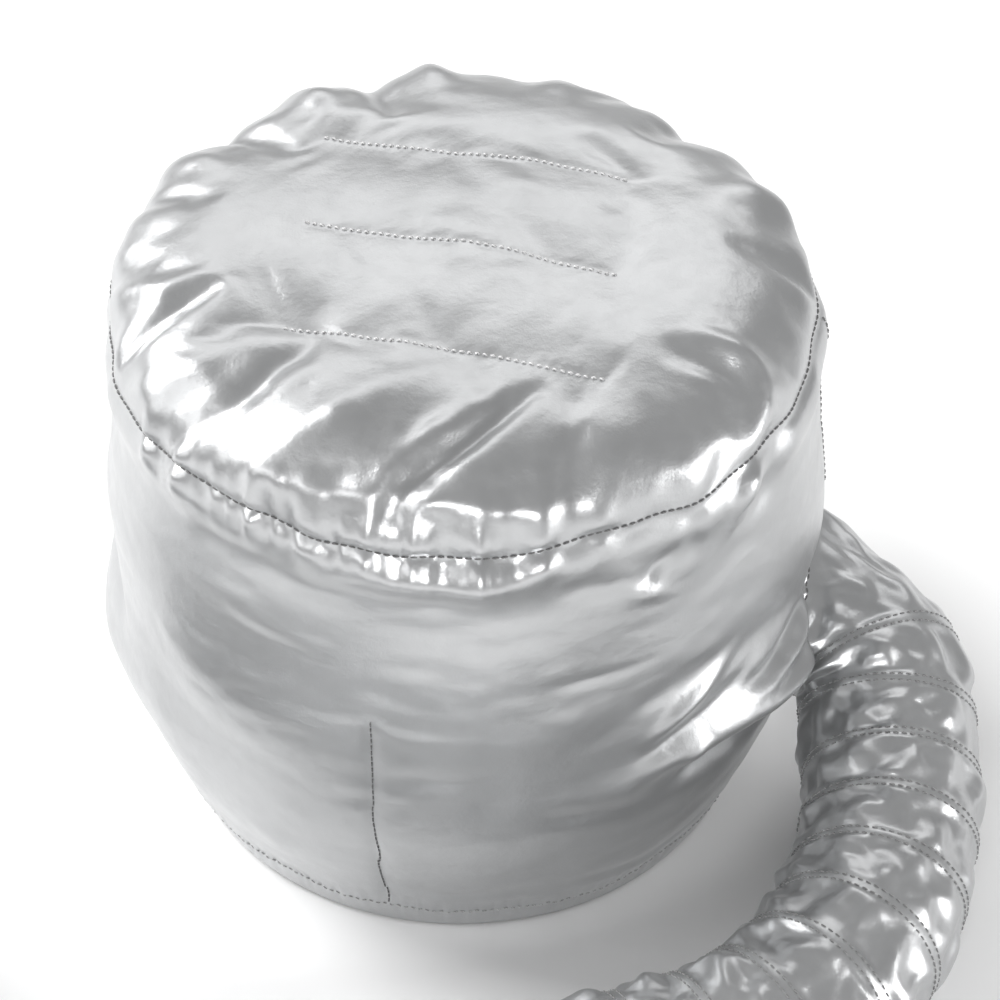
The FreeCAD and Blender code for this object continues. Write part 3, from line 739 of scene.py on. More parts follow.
# Folds in the crown: the lines they follow, as (azimuth in degrees, distance from the middle and height
# in millimetres), then their width. Heights are above the cloth, and a valley's are below 0.
CROWN_FOLDS = [
    ([(-178, 146, 2), (-171, 119, 4), (-170, 96, 2.5), (-171, 78, 0)], 7),
    ([(-162, 140, -3), (-165, 113, -4), (-168, 94, -2), (-170, 78, 0)], 5),
    ([(-152, 140, 2), (-147, 119, 3), (-145, 95, 2), (-143, 70, 0)], 10),
    ([(-140, 149, -4), (-135, 126, -4), (-135, 95, -3), (-133, 66, 0)], 7),
    ([(-122, 136, 3), (-116, 112, 4.5), (-110, 94, 3), (-104, 72, 0)], 10),
    ([(-101, 138, -4), (-92, 117, -5.5), (-79, 96, -4.5), (-62, 84, 0)], 6),
    ([(-102, 128, 3), (-95, 110, 3.5), (-84, 93, 2.5), (-73, 78, 0)], 6),
    ([(-73, 142, -2), (-71, 128, -2.5), (-64, 98, -2), (-57, 80, 0)], 7),
    ([(-134, 143, 0), (-120, 141, 2), (-109, 137, 3), (-99, 136, 3.5), (-84, 139, 3.5), (-68, 147, 0)], 4),
    ([(-42, 82, 0), (-33, 100, 1.5), (-29, 121, 3.5), (-27, 136, 0)], 5),
    ([(-46, 92, 0), (-38, 108, -1.5), (-34, 124, -3), (-33, 140, 0)], 5),
    ([(-26, 126, 0), (-32, 142, 3), (-38, 153, 4)], 6),
    ([(-43, 112, 0), (-41, 122, -1.5), (-40, 131, 0)], 2.5),
    ([(95, 98, 0), (95, 125, 4), (96, 150, 3)], 8),
    ([(106, 92, 0), (106, 120, -5), (107, 150, -3)], 7),
    ([(119, 92, 0), (119, 122, 5), (120, 150, 3)], 9),
    ([(134, 90, 0), (135, 120, -5), (137, 150, -3)], 7),
    ([(148, 98, 0), (148, 125, 3.5), (149, 150, 2)], 9),
    ([(160, 98, 0), (160, 125, -3.5), (160, 150, -2)], 7),
    ([(72, 104, 0), (72, 128, 2.5), (72, 150, 2)], 10),
    ([(48, 104, 0), (47, 128, -3), (46, 150, -2)], 9),
    ([(22, 100, 0), (20, 126, 3), (18, 150, 2)], 10),
    ([(4, 104, 0), (2, 128, -2.5), (0, 150, -2)], 8),
]

FLAT_RADIUS = 0.143  # the side panel is laid flat, for its folds and its weave, at this radius

# Folds in the side panel, as (azimuth, height above the table, height of the fold), then the width.
SIDE_FOLDS = [
    ([(-3, 146, 0), (-8, 122, 5), (-13, 104, 8.5), (-20, 94, 9.5), (-33, 97, 8), (-46, 101, 6), (-57, 99, 4),
      (-72, 87, 0)], 7.5),
    ([(-12, 92, -4), (-18, 80, -9), (-25, 77, -9), (-38, 84, -7.5), (-50, 90, -4), (-62, 88, 0)], 8.5),
    ([(-34, 142, 0), (-44, 133, 2.5), (-54, 122, 3.5), (-61, 112, 0)], 4),
    ([(-32, 126, 0), (-43, 118, -2.5), (-55, 110, -2.5), (-62, 104, 0)], 4),
    ([(-16, 152, 0), (-30, 134, -3), (-45, 135, -3), (-58, 136, -2.5), (-74, 128, 0)], 9),
    ([(-48, 104, 0), (-51, 98, 2.5), (-58, 80, 0)], 4),
    ([(-2, 138, 0), (-8, 120, -4), (-14, 107, -4.5), (-22, 101, -3), (-32, 104, 0)], 3),
    ([(-6, 144, 0), (-14, 127, 4), (-22, 111, 4), (-33, 107, 3), (-46, 109, 0)], 3.5),
    ([(-10, 146, 0), (-19, 130, -3.5), (-28, 116, -3.5), (-40, 113, 0)], 3.5),
    ([(-79, 159, 0), (-70, 158, -1), (-60, 157, -0.8), (-54, 157, 0)], 2.2),
    ([(-82, 87, 0), (-68, 84, -1.5), (-54, 80, 0)], 4),
    ([(-54, 214, 0), (-58, 204, -2.5), (-62, 192, 0)], 3.5),
    ([(-66, 202, 0), (-60, 193, 2), (-53, 184, 0)], 3.5),
    ([(-38, 230, 4), (-42, 212, 3.5), (-46, 188, 0)], 6),
    ([(-29, 230, -2), (-34, 208, -2), (-38, 182, 0)], 7),
    ([(-52, 230, -2), (-52, 214, -2.5), (-51, 196, 0)], 5),
    ([(-108, 220, 1), (-100, 219, 3.5), (-88, 217, 4), (-78, 221, 0)], 8),
    ([(172, 128, 0), (180, 116, -4), (190, 106, -4), (199, 94, 0)], 7),
    ([(148, 84, 0), (170, 76, 5), (188, 72, 5), (206, 66, 0)], 17),
    ([(3, 148, 0), (9, 122, 4), (16, 102, 6), (30, 96, 5), (46, 94, 3), (64, 86, 0)], 8),
    ([(15, 88, -4), (24, 80, -6), (38, 82, -4), (56, 80, 0)], 9),
    ([(18, 150, 0), (34, 136, -3), (52, 132, -2), (70, 126, 0)], 8),
]


def fold_field(places, folds, radius):
    """The height of given folds at places, each (along, up) in metres on the cloth laid flat.
    radius is None for the crown, whose lines are given about its middle."""
    total = np.zeros(len(places))
    for line, width in folds:
        marks = np.array(line, float)
        if radius is None:
            turn = np.radians(marks[:, 0])
            flat = np.stack([np.cos(turn), np.sin(turn)], 1) * marks[:, 1:2] / 1000
        else:
            flat = np.stack([np.radians(marks[:, 0]) * radius, marks[:, 1] / 1000], 1)
        nearest = np.full(len(places), 1e9)
        height = np.zeros(len(places))
        for a, b, low, high in zip(flat, flat[1:], marks[:, 2], marks[1:, 2]):
            run = b - a
            share = np.clip(((places - a) @ run) / (run @ run), 0, 1)
            away = np.linalg.norm(places - a - share[:, None] * run, axis=1)
            closer = away < nearest
            nearest = np.where(closer, away, nearest)
            height = np.where(closer, low + (high - low) * share, height)
        total += height / 1000 * np.exp(-((nearest / (width / 1000)) ** 2))
    return total


def scattered_folds(count, seed, spans, heights, lengths, widths, tilt):
    """Short random wrinkles, written as the folds above are."""
    chance = np.random.default_rng(seed)
    folds = []
    for _ in range(count):
        azimuth, up = chance.uniform(*spans[0]), chance.uniform(*spans[1])
        length, turn = chance.uniform(*lengths), chance.normal(0, tilt)
        high = chance.choice([-1, 1]) * chance.uniform(*heights)
        across = math.degrees(length / 2 * math.cos(turn) / (1000 * FLAT_RADIUS))
        rise = length / 2 * math.sin(turn)
        bow = chance.normal(0, length * 0.05)
        line = [(azimuth - across, up - rise, 0), (azimuth, up + bow, high), (azimuth + across, up + rise, 0)]
        folds.append((line, chance.uniform(*widths)))
    return folds


def seam_puckers():
    """Gathers across the crown seam, close together at the front left: (azimuth, width, height)."""
    chance = np.random.default_rng(5)
    puckers = []
    azimuth = -176.0
    while azimuth < 180.0:
        crowded = float(bump(azimuth, -118, 34))
        azimuth += chance.uniform(2.6, 4.6) if crowded > 0.3 else chance.uniform(6.0, 13.0)
        height = chance.uniform(0.5, 1.0) * (0.5 + 3.2 * crowded)
        puckers.append((azimuth, chance.uniform(0.8, 1.3) * (1.0 if crowded > 0.3 else 2.0), height))
    azimuth = -158.0
    while azimuth < -76.0:
        azimuth += chance.uniform(6.5, 11.0)
        puckers.append((azimuth, chance.uniform(1.8, 2.8), chance.uniform(2.2, 4.0)))
    return puckers


PUCKERS = seam_puckers()


def pucker_field(azimuth, away, reach):
    """Height of the seam's gathers at an azimuth and a distance from the seam, in metres."""
    total = np.zeros(len(azimuth))
    for middle, width, height in PUCKERS:
        total += height * bump(degrees_from(azimuth, middle), 0, width)
    return (total - 0.4) / 1000 * np.exp(-((away / reach) ** 2)) * smooth(0.0, 0.003, away)


def seam_rise(azimuth):
    """The crown seam droops at the front, and wavers all the way round."""
    turn = np.radians(azimuth)
    droop = 0.0045 * (1 - np.cos(turn + math.radians(95))) - 0.002
    waver = 0.0010 * np.sin(5 * turn + 0.6) + 0.0008 * np.sin(11 * turn + 2.0) + 0.0005 * np.sin(23 * turn)
    return droop + waver


def seam_push(azimuth):
    """How far the crown seam stands out of its circle."""
    turn = np.radians(azimuth)
    broad = 0.0009 * np.sin(7 * turn + 1.0) + 0.0007 * np.sin(13 * turn + 0.4)
    return broad + 0.0005 * np.sin(29 * turn + 2.2)


class HoodGrid:
    """The crown and the side panel as one sheet of points, welded along the crown seam."""

    def __init__(self):
        self.crown_places, self.crown_uv = self.lay_crown()
        count = (CROWN_CELLS + 1) ** 2
        ids = np.arange(count).reshape(CROWN_CELLS + 1, CROWN_CELLS + 1)
        rim = np.zeros(COLUMNS, int)
        edge = np.concatenate([ids[0], ids[-1], ids[:, 0], ids[:, -1]])
        turn = np.arctan2(self.crown_places[edge, 1], self.crown_places[edge, 0])
        rim[np.round(turn / (2 * math.pi) * COLUMNS).astype(int) % COLUMNS] = edge
        self.crown_faces = grid_faces(CROWN_CELLS + 1, CROWN_CELLS + 1, closed=False)
        rows = np.arange(count, count + (SIDE_ROWS - 1) * COLUMNS).reshape(SIDE_ROWS - 1, COLUMNS)
        self.rows = np.vstack([rim[None], rows])
        self.crown_count = count
        self.total = count + (SIDE_ROWS - 1) * COLUMNS

    @staticmethod
    def lay_crown():
        """A square grid drawn out to a disc, evenly spaced round its rim."""
        steps = np.linspace(-1, 1, CROWN_CELLS + 1)
        u, v = np.meshgrid(steps, steps)
        wide = np.abs(u) >= np.abs(v)
        with np.errstate(divide="ignore", invalid="ignore"):
            turn = np.where(wide, math.pi / 4 * v / u, math.pi / 2 - math.pi / 4 * u / v)
        turn = np.nan_to_num(turn)
        reach = np.where(wide, u, v)
        x, y = reach * np.cos(turn), reach * np.sin(turn)
        for _ in range(40):
            for flat in (x, y):
                middle = (flat[:-2, 1:-1] + flat[2:, 1:-1] + flat[1:-1, :-2] + flat[1:-1, 2:]) / 4
                flat[1:-1, 1:-1] = middle
        places = np.stack([x.ravel(), y.ravel()], 1)
        return places, places * SURFACE.crown.length


def outward(profile, distance):
    """The profile's outward direction as (radial, up) at distances along it."""
    step = 0.002
    r1, z1 = profile.at(np.clip(distance - step, 0, profile.length))
    r2, z2 = profile.at(np.clip(distance + step, 0, profile.length))
    length = np.hypot(r2 - r1, z2 - z1)
    return np.abs(z2 - z1) / length, (r2 - r1) / length


def crown_shape(grid):
    """The crown's points, with its folds, its seam's gathers and the roll over its edge."""
    reach = np.linalg.norm(grid.crown_places, axis=1)
    turn = np.arctan2(grid.crown_places[:, 1], grid.crown_places[:, 0])
    azimuth = np.degrees(turn)
    distance = reach * SURFACE.crown.length
    radius, height = SURFACE.crown.at(distance)
    away = SURFACE.crown.length - distance
    near = 1 - smooth(0.0, 0.045, away)
    height = height + seam_rise(azimuth) * near
    radius = radius + seam_push(azimuth) * near
    lift = fold_field(grid.crown_uv, CROWN_FOLDS, None) * smooth(0.0, 0.012, away)
    broad = np.pad(grid.crown_uv, ((0, 0), (0, 1)))
    lift += 0.0028 * fine_noise(broad, 22.0, 1) * smooth(0.0, 0.03, away)
    lift += 0.0012 * fine_noise(broad, 60.0, 2) * smooth(0.0, 0.02, away)
    lift += pucker_field(azimuth, away, 0.013)
    lift += 0.0025 * bump(away, 0.012, 0.010)
    sideways, up = outward(SURFACE.crown, distance)
    up = np.where(reach < 0.05, 1.0, up)
    sideways = np.where(reach < 0.05, 0.0, sideways)
    return polar(radius + lift * sideways, turn, height + lift * up)


DARTS = {"front": -104, "left": 166, "back": 76}
DART_FOOT, DART_HEAD = 0.016, 0.142
EYELET_AZIMUTH = 90
SIDE_WRINKLES = scattered_folds(60, 11, ((-180, 180), (30, 215)), (0.15, 0.45), (22, 70), (2.2, 5.0), 0.3)


def wrapped_folds(folds):
    """The folds again a full turn to each side, so that none is cut off where the azimuth starts over."""
    return [([(a + turn, up, h) for a, up, h in line], width)
            for line, width in folds for turn in (-360, 0, 360)
            if max(a + turn for a, _, _ in line) > -200 and min(a + turn for a, _, _ in line) < 200]


def side_shape():
    """The side panel's points below the seam, with their azimuths and distances up from its foot."""
    distance = SURFACE.side.length * (1 - np.arange(1, SIDE_ROWS) / (SIDE_ROWS - 1))
    turn, distance = (a.ravel() for a in np.meshgrid(full_turn(COLUMNS), distance))
    azimuth = degrees_from(np.degrees(turn), 0)
    radius, height = SURFACE.side.at(distance)
    by_eyelet = bump(azimuth, EYELET_AZIMUTH, 11)
    radius += (np.interp(height, SURFACE.tucked.heights, SURFACE.tucked.radii) - radius) * by_eyelet
    away = SURFACE.side.length - distance
    near = 1 - smooth(0.0, 0.05, away)
    foot = smooth(0.0, 0.02, distance)
    places = np.stack([np.radians(azimuth) * FLAT_RADIUS, height], 1)
    lift = fold_field(places, wrapped_folds(SIDE_FOLDS), FLAT_RADIUS)
    lift += fold_field(places, wrapped_folds(SIDE_WRINKLES), FLAT_RADIUS)
    around = polar(FLAT_RADIUS, turn, height)
    lift += 0.0038 * fine_noise(around * (1, 1, 1.3), 18.0, 4)
    lift += 0.0006 * fine_noise(around * (1, 1, 2.0), 55.0, 6)
    lift += 0.009 * bump(azimuth, 2, 24) * bump(height, 0.128, 0.045)
    for dart in DARTS.values():
        apart = degrees_from(azimuth, dart)
        sewn = smooth(0.010, 0.03, height) * (1 - smooth(0.128, 0.146, height))
        lift -= 0.0030 * sewn * np.exp(-np.abs(apart) / 1.6) - 0.0012 * sewn * bump(apart, 0, 5)
    lift += 0.0028 * bump(away, 0.012, 0.009)
    gathers = np.sin(azimuth * 2.1 + 1.4 * np.sin(azimuth * 0.31)) + 0.6 * np.sin(azimuth * 3.7)
    lift += 0.0010 * gathers * (1 - smooth(0.0, 0.035, distance)) * smooth(0.0, 0.006, distance)
    lift *= foot * 0.9 + 0.1
    lift = lift * smooth(0.0, 0.006, away) + pucker_field(azimuth, away, 0.012)
    sideways, up = outward(SURFACE.side, distance)
    radius = radius + lift * sideways + seam_push(azimuth) * near
    height = height + lift * -up + seam_rise(azimuth) * near
    return polar(radius, turn, height), azimuth, distance


def open_inlet(points, grid):
    """Draws the grid round the hose's cylinder, and gives the cells inside it to take out.
    Returns each side point's share of the way from the hole's middle, 1 at its edge."""
    rows, columns = np.meshgrid(np.arange(SIDE_ROWS), np.arange(COLUMNS), indexing="ij")
    heights = points[grid.rows, 2]
    middle_row = int(np.argmin(np.abs(heights[:, 0] - HOSE_START[2])))
    turn = math.atan2(HOSE_START[1], HOSE_START[0])
    middle_column = round(turn / (2 * math.pi) * COLUMNS)
    across = (columns - middle_column + COLUMNS // 2) % COLUMNS - COLUMNS // 2
    share = np.maximum(np.abs(rows - middle_row), np.abs(across)) / INLET_CELLS
    moved = (share < INLET_REACH) & (share > 0)
    ids, part, down = grid.rows[moved], share[moved], (rows - middle_row)[moved]
    start = points[ids]
    flat = start - HOSE_START
    way = unit(flat - (flat @ HOSE_WAY)[:, None] * HOSE_WAY)
    risen = np.maximum(way @ HOSE.up[0], 0.0)
    edge = meet_hood(HOSE_START + HOSE_RADIUS * (way - TOP_SQUEEZE * risen[:, None] * HOSE.up[0]))
    # each point goes as far from the hole's edge to the edge of the moved patch as it was before
    reach = np.minimum(INLET_REACH, part * (SIDE_ROWS - 1 - middle_row) / np.maximum(down, 1e-6))
    centre = np.array([turn, HOSE_START[2]])
    laid = np.stack([np.arctan2(start[:, 1], start[:, 0]), start[:, 2]], 1)
    rim = np.stack([np.arctan2(edge[:, 1], edge[:, 0]), edge[:, 2]], 1)
    far = centre + (laid - centre) * (reach / part)[:, None]
    step = np.clip((part - 1) / np.maximum(reach - 1, 1e-6), 0, 1)[:, None]
    azimuth, height = (rim * (1 - step) + far * step).T
    lift = np.hypot(start[:, 0], start[:, 1]) - SURFACE.side_radius(start[:, 2])
    radius = SURFACE.side_radius(height) + lift * smooth(1.0, 1.5, part)
    points[ids] = polar(radius, azimuth, height)
    return share


QUILT_TURN = math.radians(-14)
QUILT_LENGTH = 0.064  # half of a row's
QUILT_DEPTH = 0.0006
# The rows of quilting on the crown, as (offset across them, shift along them).
QUILT_ROWS = {"front": (-0.062, 0.009), "middle": (0.0, 0.0), "back": (0.062, -0.009)}


def make_hood():
    """The hood before its cloth settles: its grid, points and faces, what the seams hold still, and the
    side panel's azimuths and distances."""
    grid = HoodGrid()
    points = np.zeros((grid.total, 3))
    points[:grid.crown_count] = crown_shape(grid)
    points[grid.crown_count:], azimuth, distance = side_shape()
    share = open_inlet(points, grid)
    faces = list(grid.crown_faces)
    for i in range(SIDE_ROWS - 1):
        for j in range(COLUMNS):
            k = (j + 1) % COLUMNS
            if max(share[i, j], share[i, k], share[i + 1, k], share[i + 1, j]) > 1.0 + 1e-6:
                faces.append((grid.rows[i, j], grid.rows[i + 1, j], grid.rows[i + 1, k], grid.rows[i, k]))

    held = np.zeros(grid.total)
    held[grid.rows[[0, -1]]] = 1.0
    held[grid.rows[share <= 1.0]] = 1.0
    crown = grid.crown_uv
    along = crown[:, 0] * math.cos(QUILT_TURN) + crown[:, 1] * math.sin(QUILT_TURN)
    offset = -crown[:, 0] * math.sin(QUILT_TURN) + crown[:, 1] * math.cos(QUILT_TURN)
    for line, shift in QUILT_ROWS.values():
        sewn = np.nonzero((np.abs(offset - line) < 0.0016) & (np.abs(along - shift) < QUILT_LENGTH))[0]
        held[sewn] = 1.0
        points[sewn, 2] -= QUILT_DEPTH
    height = points[grid.crown_count:, 2]
    sewn = (np.abs(azimuth) < 0.5) & (height > DART_HEAD)
    for dart in DARTS.values():
        by_dart = np.abs(degrees_from(azimuth, dart)) < 0.5
        sewn |= by_dart & (height > DART_FOOT) & (height < DART_HEAD + 0.001)
    held[grid.crown_count + np.nonzero(sewn)[0]] = 1.0
    return grid, points, faces, held, azimuth, distance


def finish_hood():
    """Settles the hood's cloth, and parts it into the crown and the side panel."""
    grid, points, faces, held, azimuth, distance = make_hood()
    uv = np.zeros((grid.total, 2))
    uv[:grid.crown_count] = grid.crown_uv
    uv[grid.crown_count:, 0] = np.radians(azimuth) % (2 * math.pi) * FLAT_RADIUS
    uv[grid.crown_count:, 1] = distance
    side_uv = uv.copy()
    side_uv[grid.rows[0], 0] = full_turn(COLUMNS) * FLAT_RADIUS
    side_uv[grid.rows[0], 1] = SURFACE.side.length
    faces, points, held, uv, side_uv = keep_used(faces, points, held, uv, side_uv)
    points = settle("hood_cloth", points, faces, points * 1.004, held,
                    frames=20, pressure=0.25, bending=1.0, stiffness=18.0)
    count = len(grid.crown_faces)
    for name, part, laid, wrap in (("crown", faces[:count], uv, 0.0),
                                   ("side", faces[count:], side_uv, 2 * math.pi * FLAT_RADIUS)):
        part, own_points, own_uv = keep_used(part, points, laid)
        item = mesh_object(f"{name}_panel_cloth", own_points, part)
        give_uv(item, own_uv, wrap)
        refine(item)
        yield adopt(item, SILVER, replaces=(f"{name}_panel",))


CROWN, SIDE = finish_hood()

# ---- stitches and rods


def tube_mesh(paths, radii, sides=6, closed=False):
    """Rods of one mesh. paths is (rods, steps, 3), and radii (steps,) or a number."""
    paths = np.asarray(paths, float)
    rods, steps, _ = paths.shape
    if closed:
        forward = unit(np.roll(paths, -1, axis=1) - np.roll(paths, 1, axis=1), 1e-12)
    else:
        forward = unit(np.gradient(paths, axis=1), 1e-12)
    steady = np.where(np.abs(forward[:, :1, 2:3]) > 0.9, [[[1.0, 0, 0]]], [[[0, 0, 1.0]]])
    side = unit(np.cross(forward, np.broadcast_to(steady, forward.shape)), 1e-12)
    up = np.cross(side, forward)
    turns = full_turn(sides)[:, None]
    radii = np.broadcast_to(radii, (steps,))[None, :, None, None]
    ring = np.cos(turns) * side[:, :, None] + np.sin(turns) * up[:, :, None]
    points = (paths[:, :, None] + radii * ring).reshape(-1, 3)
    faces = []
    for rod in range(rods):
        base = rod * steps * sides
        for i in range(steps if closed else steps - 1):
            k = (i + 1) % steps
            here, there = base + i * sides, base + k * sides
            for j in range(sides):
                n = (j + 1) % sides
                faces.append((here + j, there + j, there + n, here + n))
        if not closed:
            faces.append(tuple(base + j for j in range(sides)))
            faces.append(tuple(base + (steps - 1) * sides + j for j in reversed(range(sides))))
    return points, faces


STITCH_SHARES = np.array([0.0, 0.12, 0.5, 0.88, 1.0])
STITCH_RISE = np.array([-0.9, 0.55, 0.9, 0.55, -0.9])
STITCH_RADII = np.array([0.55, 0.95, 1.0, 0.95, 0.55])


def along_line(line, distances, closed, values=None):
    """Points at distances along a polyline, or what values kept at its points say there."""
    values = line if values is None else values
    if closed:
        line, values = np.vstack([line, line[:1]]), np.vstack([values, values[:1]])
    steps = distances_along(line)
    distances = np.mod(distances, steps[-1]) if closed else distances
    return np.stack([np.interp(distances, steps, values[:, k]) for k in range(3)], -1)


def line_length(line, closed):
    return distances_along(np.vstack([line, line[:1]]) if closed else line)[-1]


def stitches(lines, outwards, pitch, share, radius, closed=False):
    """Separate stitches along lines on the cloth. outwards are the cloth's directions there."""
    paths = []
    for line, way in zip(lines, outwards):
        length = line_length(line, closed)
        count = max(1, int(length / pitch))
        starts = np.arange(count) * (length / count)
        places = (starts[:, None] + STITCH_SHARES[None] * (length / count * share)).ravel()
        points, ways = (along_line(line, places, closed, kept).reshape(count, -1, 3) for kept in (line, way))
        paths.append(points + ways * (STITCH_RISE * radius)[None, :, None])
    return tube_mesh(np.concatenate(paths), STITCH_RADII * radius)


class Skin:
    """Finished cloth, to lay other things on."""

    def __init__(self, *items):
        points, faces = [], []
        for item in items:
            start = sum(len(p) for p in points)
            points.append(read_all(item.data.vertices, "co", 3, float))
            faces.append(read_all(item.data.polygons, "vertices", 4) + start)
        self.tree = BVHTree.FromPolygons([tuple(p) for p in np.vstack(points)],
                                         [tuple(f) for f in np.vstack(faces).tolist()])

    def nearest(self, points):
        """The nearest places on the cloth, and its outward directions there."""
        places, ways = [], []
        for point in points:
            place, way, _, _ = self.tree.find_nearest(Vector(point))
            places.append(tuple(place))
            ways.append(tuple(way))
        return np.array(places), np.array(ways)


HOOD_SKIN = Skin(CROWN, SIDE)
SLEEVE_SKIN = Skin(SLEEVE)


def ring_points(radius, height, count=1440):
    """A circle of points about the hood's axis."""
    return polar(radius, full_turn(count), height)


def sewn_piece(name, lines, outwards, node, material, pitch, share, radius, closed=False):
    """A piece made of stitches, given the distance between two, the share that shows and the thread."""
    points, faces = stitches(lines, outwards, pitch, share, radius, closed)
    return adopt(mesh_object(name, points, faces), material, replaces=(node,))


def sew_hood():
    """The stitches of the hood's outer seams and of the quilting."""
    turn = full_turn(1440)
    azimuth = np.degrees(turn)
    ring = polar(SEAM_RADIUS + seam_push(azimuth), turn, SEAM_HEIGHT + seam_rise(azimuth))
    slope = polar(1.0, turn, 0.35) / math.hypot(1, 0.35)
    places, _ = HOOD_SKIN.nearest(ring)
    sewn_piece("crown_seam_stitches", [places], [slope], "crown_seam_thread", THREAD_DARK,
               0.0034, 0.74, 0.00042, closed=True)

    places, ways = HOOD_SKIN.nearest(ring_points(HEM_RADIUS + 0.0015, HEM_HEIGHT + 0.001))
    sewn_piece("hem_stitches", [places], [ways], "hem_seam_thread", THREAD_GREY,
               0.0030, 0.6, 0.0003, closed=True)

    spin = Matrix.Rotation(QUILT_TURN, 3, "Z")
    for place, (offset, shift) in QUILT_ROWS.items():
        line = np.array([tuple(spin @ Vector((x + shift, offset + 0.0006 * math.sin(x * 90), 0.27)))
                         for x in np.linspace(-QUILT_LENGTH, QUILT_LENGTH, 120)])
        line[:, 2] = CROWN_HEIGHT - (line[:, 0] ** 2 + line[:, 1] ** 2) / (2 * CROWN_DOME)
        places, ways = HOOD_SKIN.nearest(line)
        sewn_piece(f"quilt_stitches_{place}", [places], [ways], f"quilt_thread_{place}", THREAD_WHITE,
                   0.0030, 0.52, 0.00052)

    for place, turned in DARTS.items():
        sew_up(f"dart_stitches_{place}", f"dart_thread_{place}", turned, DART_FOOT, DART_HEAD)
    sew_up("side_seam_stitches", "side_seam_thread", 0, DART_HEAD + 0.001, SEAM_HEIGHT - 0.002)


def sew_up(name, node, turned, foot, head):
    """A row of stitches up the side panel at an angle round it."""
    heights = np.linspace(foot, head, 160)
    turn = math.radians(turned)
    places, _ = HOOD_SKIN.nearest(polar(SURFACE.side_radius(heights), turn, heights))
    outward_way = np.broadcast_to([math.cos(turn), math.sin(turn), 0.0], places.shape)
    sewn_piece(name, [places], [outward_way], node, THREAD_DARK, 0.0032, 0.72, 0.00036)


def sew_hose():
    """Two rows of stitches, one each side of every hoop."""
    turn = full_turn(160)
    lines, outwards = [], []
    for hoop in HOOPS:
        for side in (-1, 1):
            distance = hoop_line(hoop, np.cos(turn)) + side * CHANNEL * 0.86
            raised = squeeze_top(HOSE_RADIUS * np.sin(turn), distance)
            places, _ = SLEEVE_SKIN.nearest(HOSE.at(distance, HOSE_RADIUS * np.cos(turn), raised))
            outwards.append(unit(places - HOSE.at(distance)))
            lines.append(places)
    sewn_piece("hoop_stitches", lines, outwards, "hoop_threads", HOOP_THREAD,
               0.0034, 0.66, 0.00034, closed=True)


def make_hoops():
    """The hoops of spring wire that hold the hose open, just inside its cloth."""
    turn = full_turn(96)
    wire = 0.0008
    reach = HOSE_RADIUS - 0.0021
    across = reach * np.cos(turn)
    paths = []
    for hoop in HOOPS:
        distance = hoop_line(hoop, np.cos(turn))
        paths.append(HOSE.at(distance, across, squeeze_top(reach * np.sin(turn), distance)))
    points, faces = tube_mesh(paths, wire, sides=8, closed=True)
    item = mesh_object("hose_hoop_wire", points, faces)
    return adopt(item, HOOP_WIRE, replaces=("hose_hoops",))


sew_hood()
sew_hose()
HOOP_RINGS = make_hoops()

# ---- linings


def round_hole(along, up, cells, radius):
    """Moves grid offsets so that the square ring of that many cells becomes a circle."""
    square = np.maximum(np.abs(along[1]), np.abs(up[1])) / cells
    natural = np.hypot(along[0], up[0])
    ring = radius * square
    blend = smooth(1.0, 3.0, square)
    reach = ring * (1 - blend) + natural * blend
    factor = np.where(natural > 0, reach / np.maximum(natural, 1e-9), 1.0)
    return [np.where(square <= 3.0, natural_way * factor, natural_way) for natural_way in (along[0], up[0])]


def pierced_grid(along, up, columns_of, rows_of, cells, radius):
    """Draws a grid, given as distances along and up, round holes centred on chosen grid points.
    Returns the new distances and the cells to leave out."""
    along, up = along.copy(), up.copy()
    open_cells = set()
    columns = along.shape[1]
    reach = 3 * cells
    for row in rows_of:
        for column in columns_of:
            rr = np.arange(row - reach, row + reach + 1)
            cc = np.arange(column - reach, column + reach + 1)
            window = np.ix_(rr, cc % columns)
            steps_up, steps_along = np.meshgrid(rr - row, cc - column, indexing="ij")
            step = along[row, 1] - along[row, 0]
            du, dv = steps_along * step, up[window] - up[row, column]
            new_u, new_v = round_hole((du, steps_along), (dv, steps_up), cells, radius)
            along[window] += new_u - du
            up[window] += new_v - dv
            open_cells.update((r, c % columns) for r in range(row - cells, row + cells)
                              for c in range(column - cells, column + cells))
    return along, up, open_cells


def lining_mesh(name, points, gaps, uv):
    """A lining's mesh over its grid, without the cells that are open and the points they leave loose."""
    rows, columns = points.shape[:2]
    faces = [f for n, f in enumerate(grid_faces(rows, columns)) if divmod(n, columns) not in gaps]
    faces, points, uv = keep_used(faces, points.reshape(-1, 3), uv.reshape(-1, 2))
    return mesh_object(name, points, faces), uv


def finish_lining(item, uv, wrap, node):
    """Gives a lining its weave and its cloth."""
    give_uv(item, uv, wrap)
    refine(item)
    return adopt(item, LINING, replaces=(node,))


AIR_HOLE = 0.005  # radius of the holes that let the air through


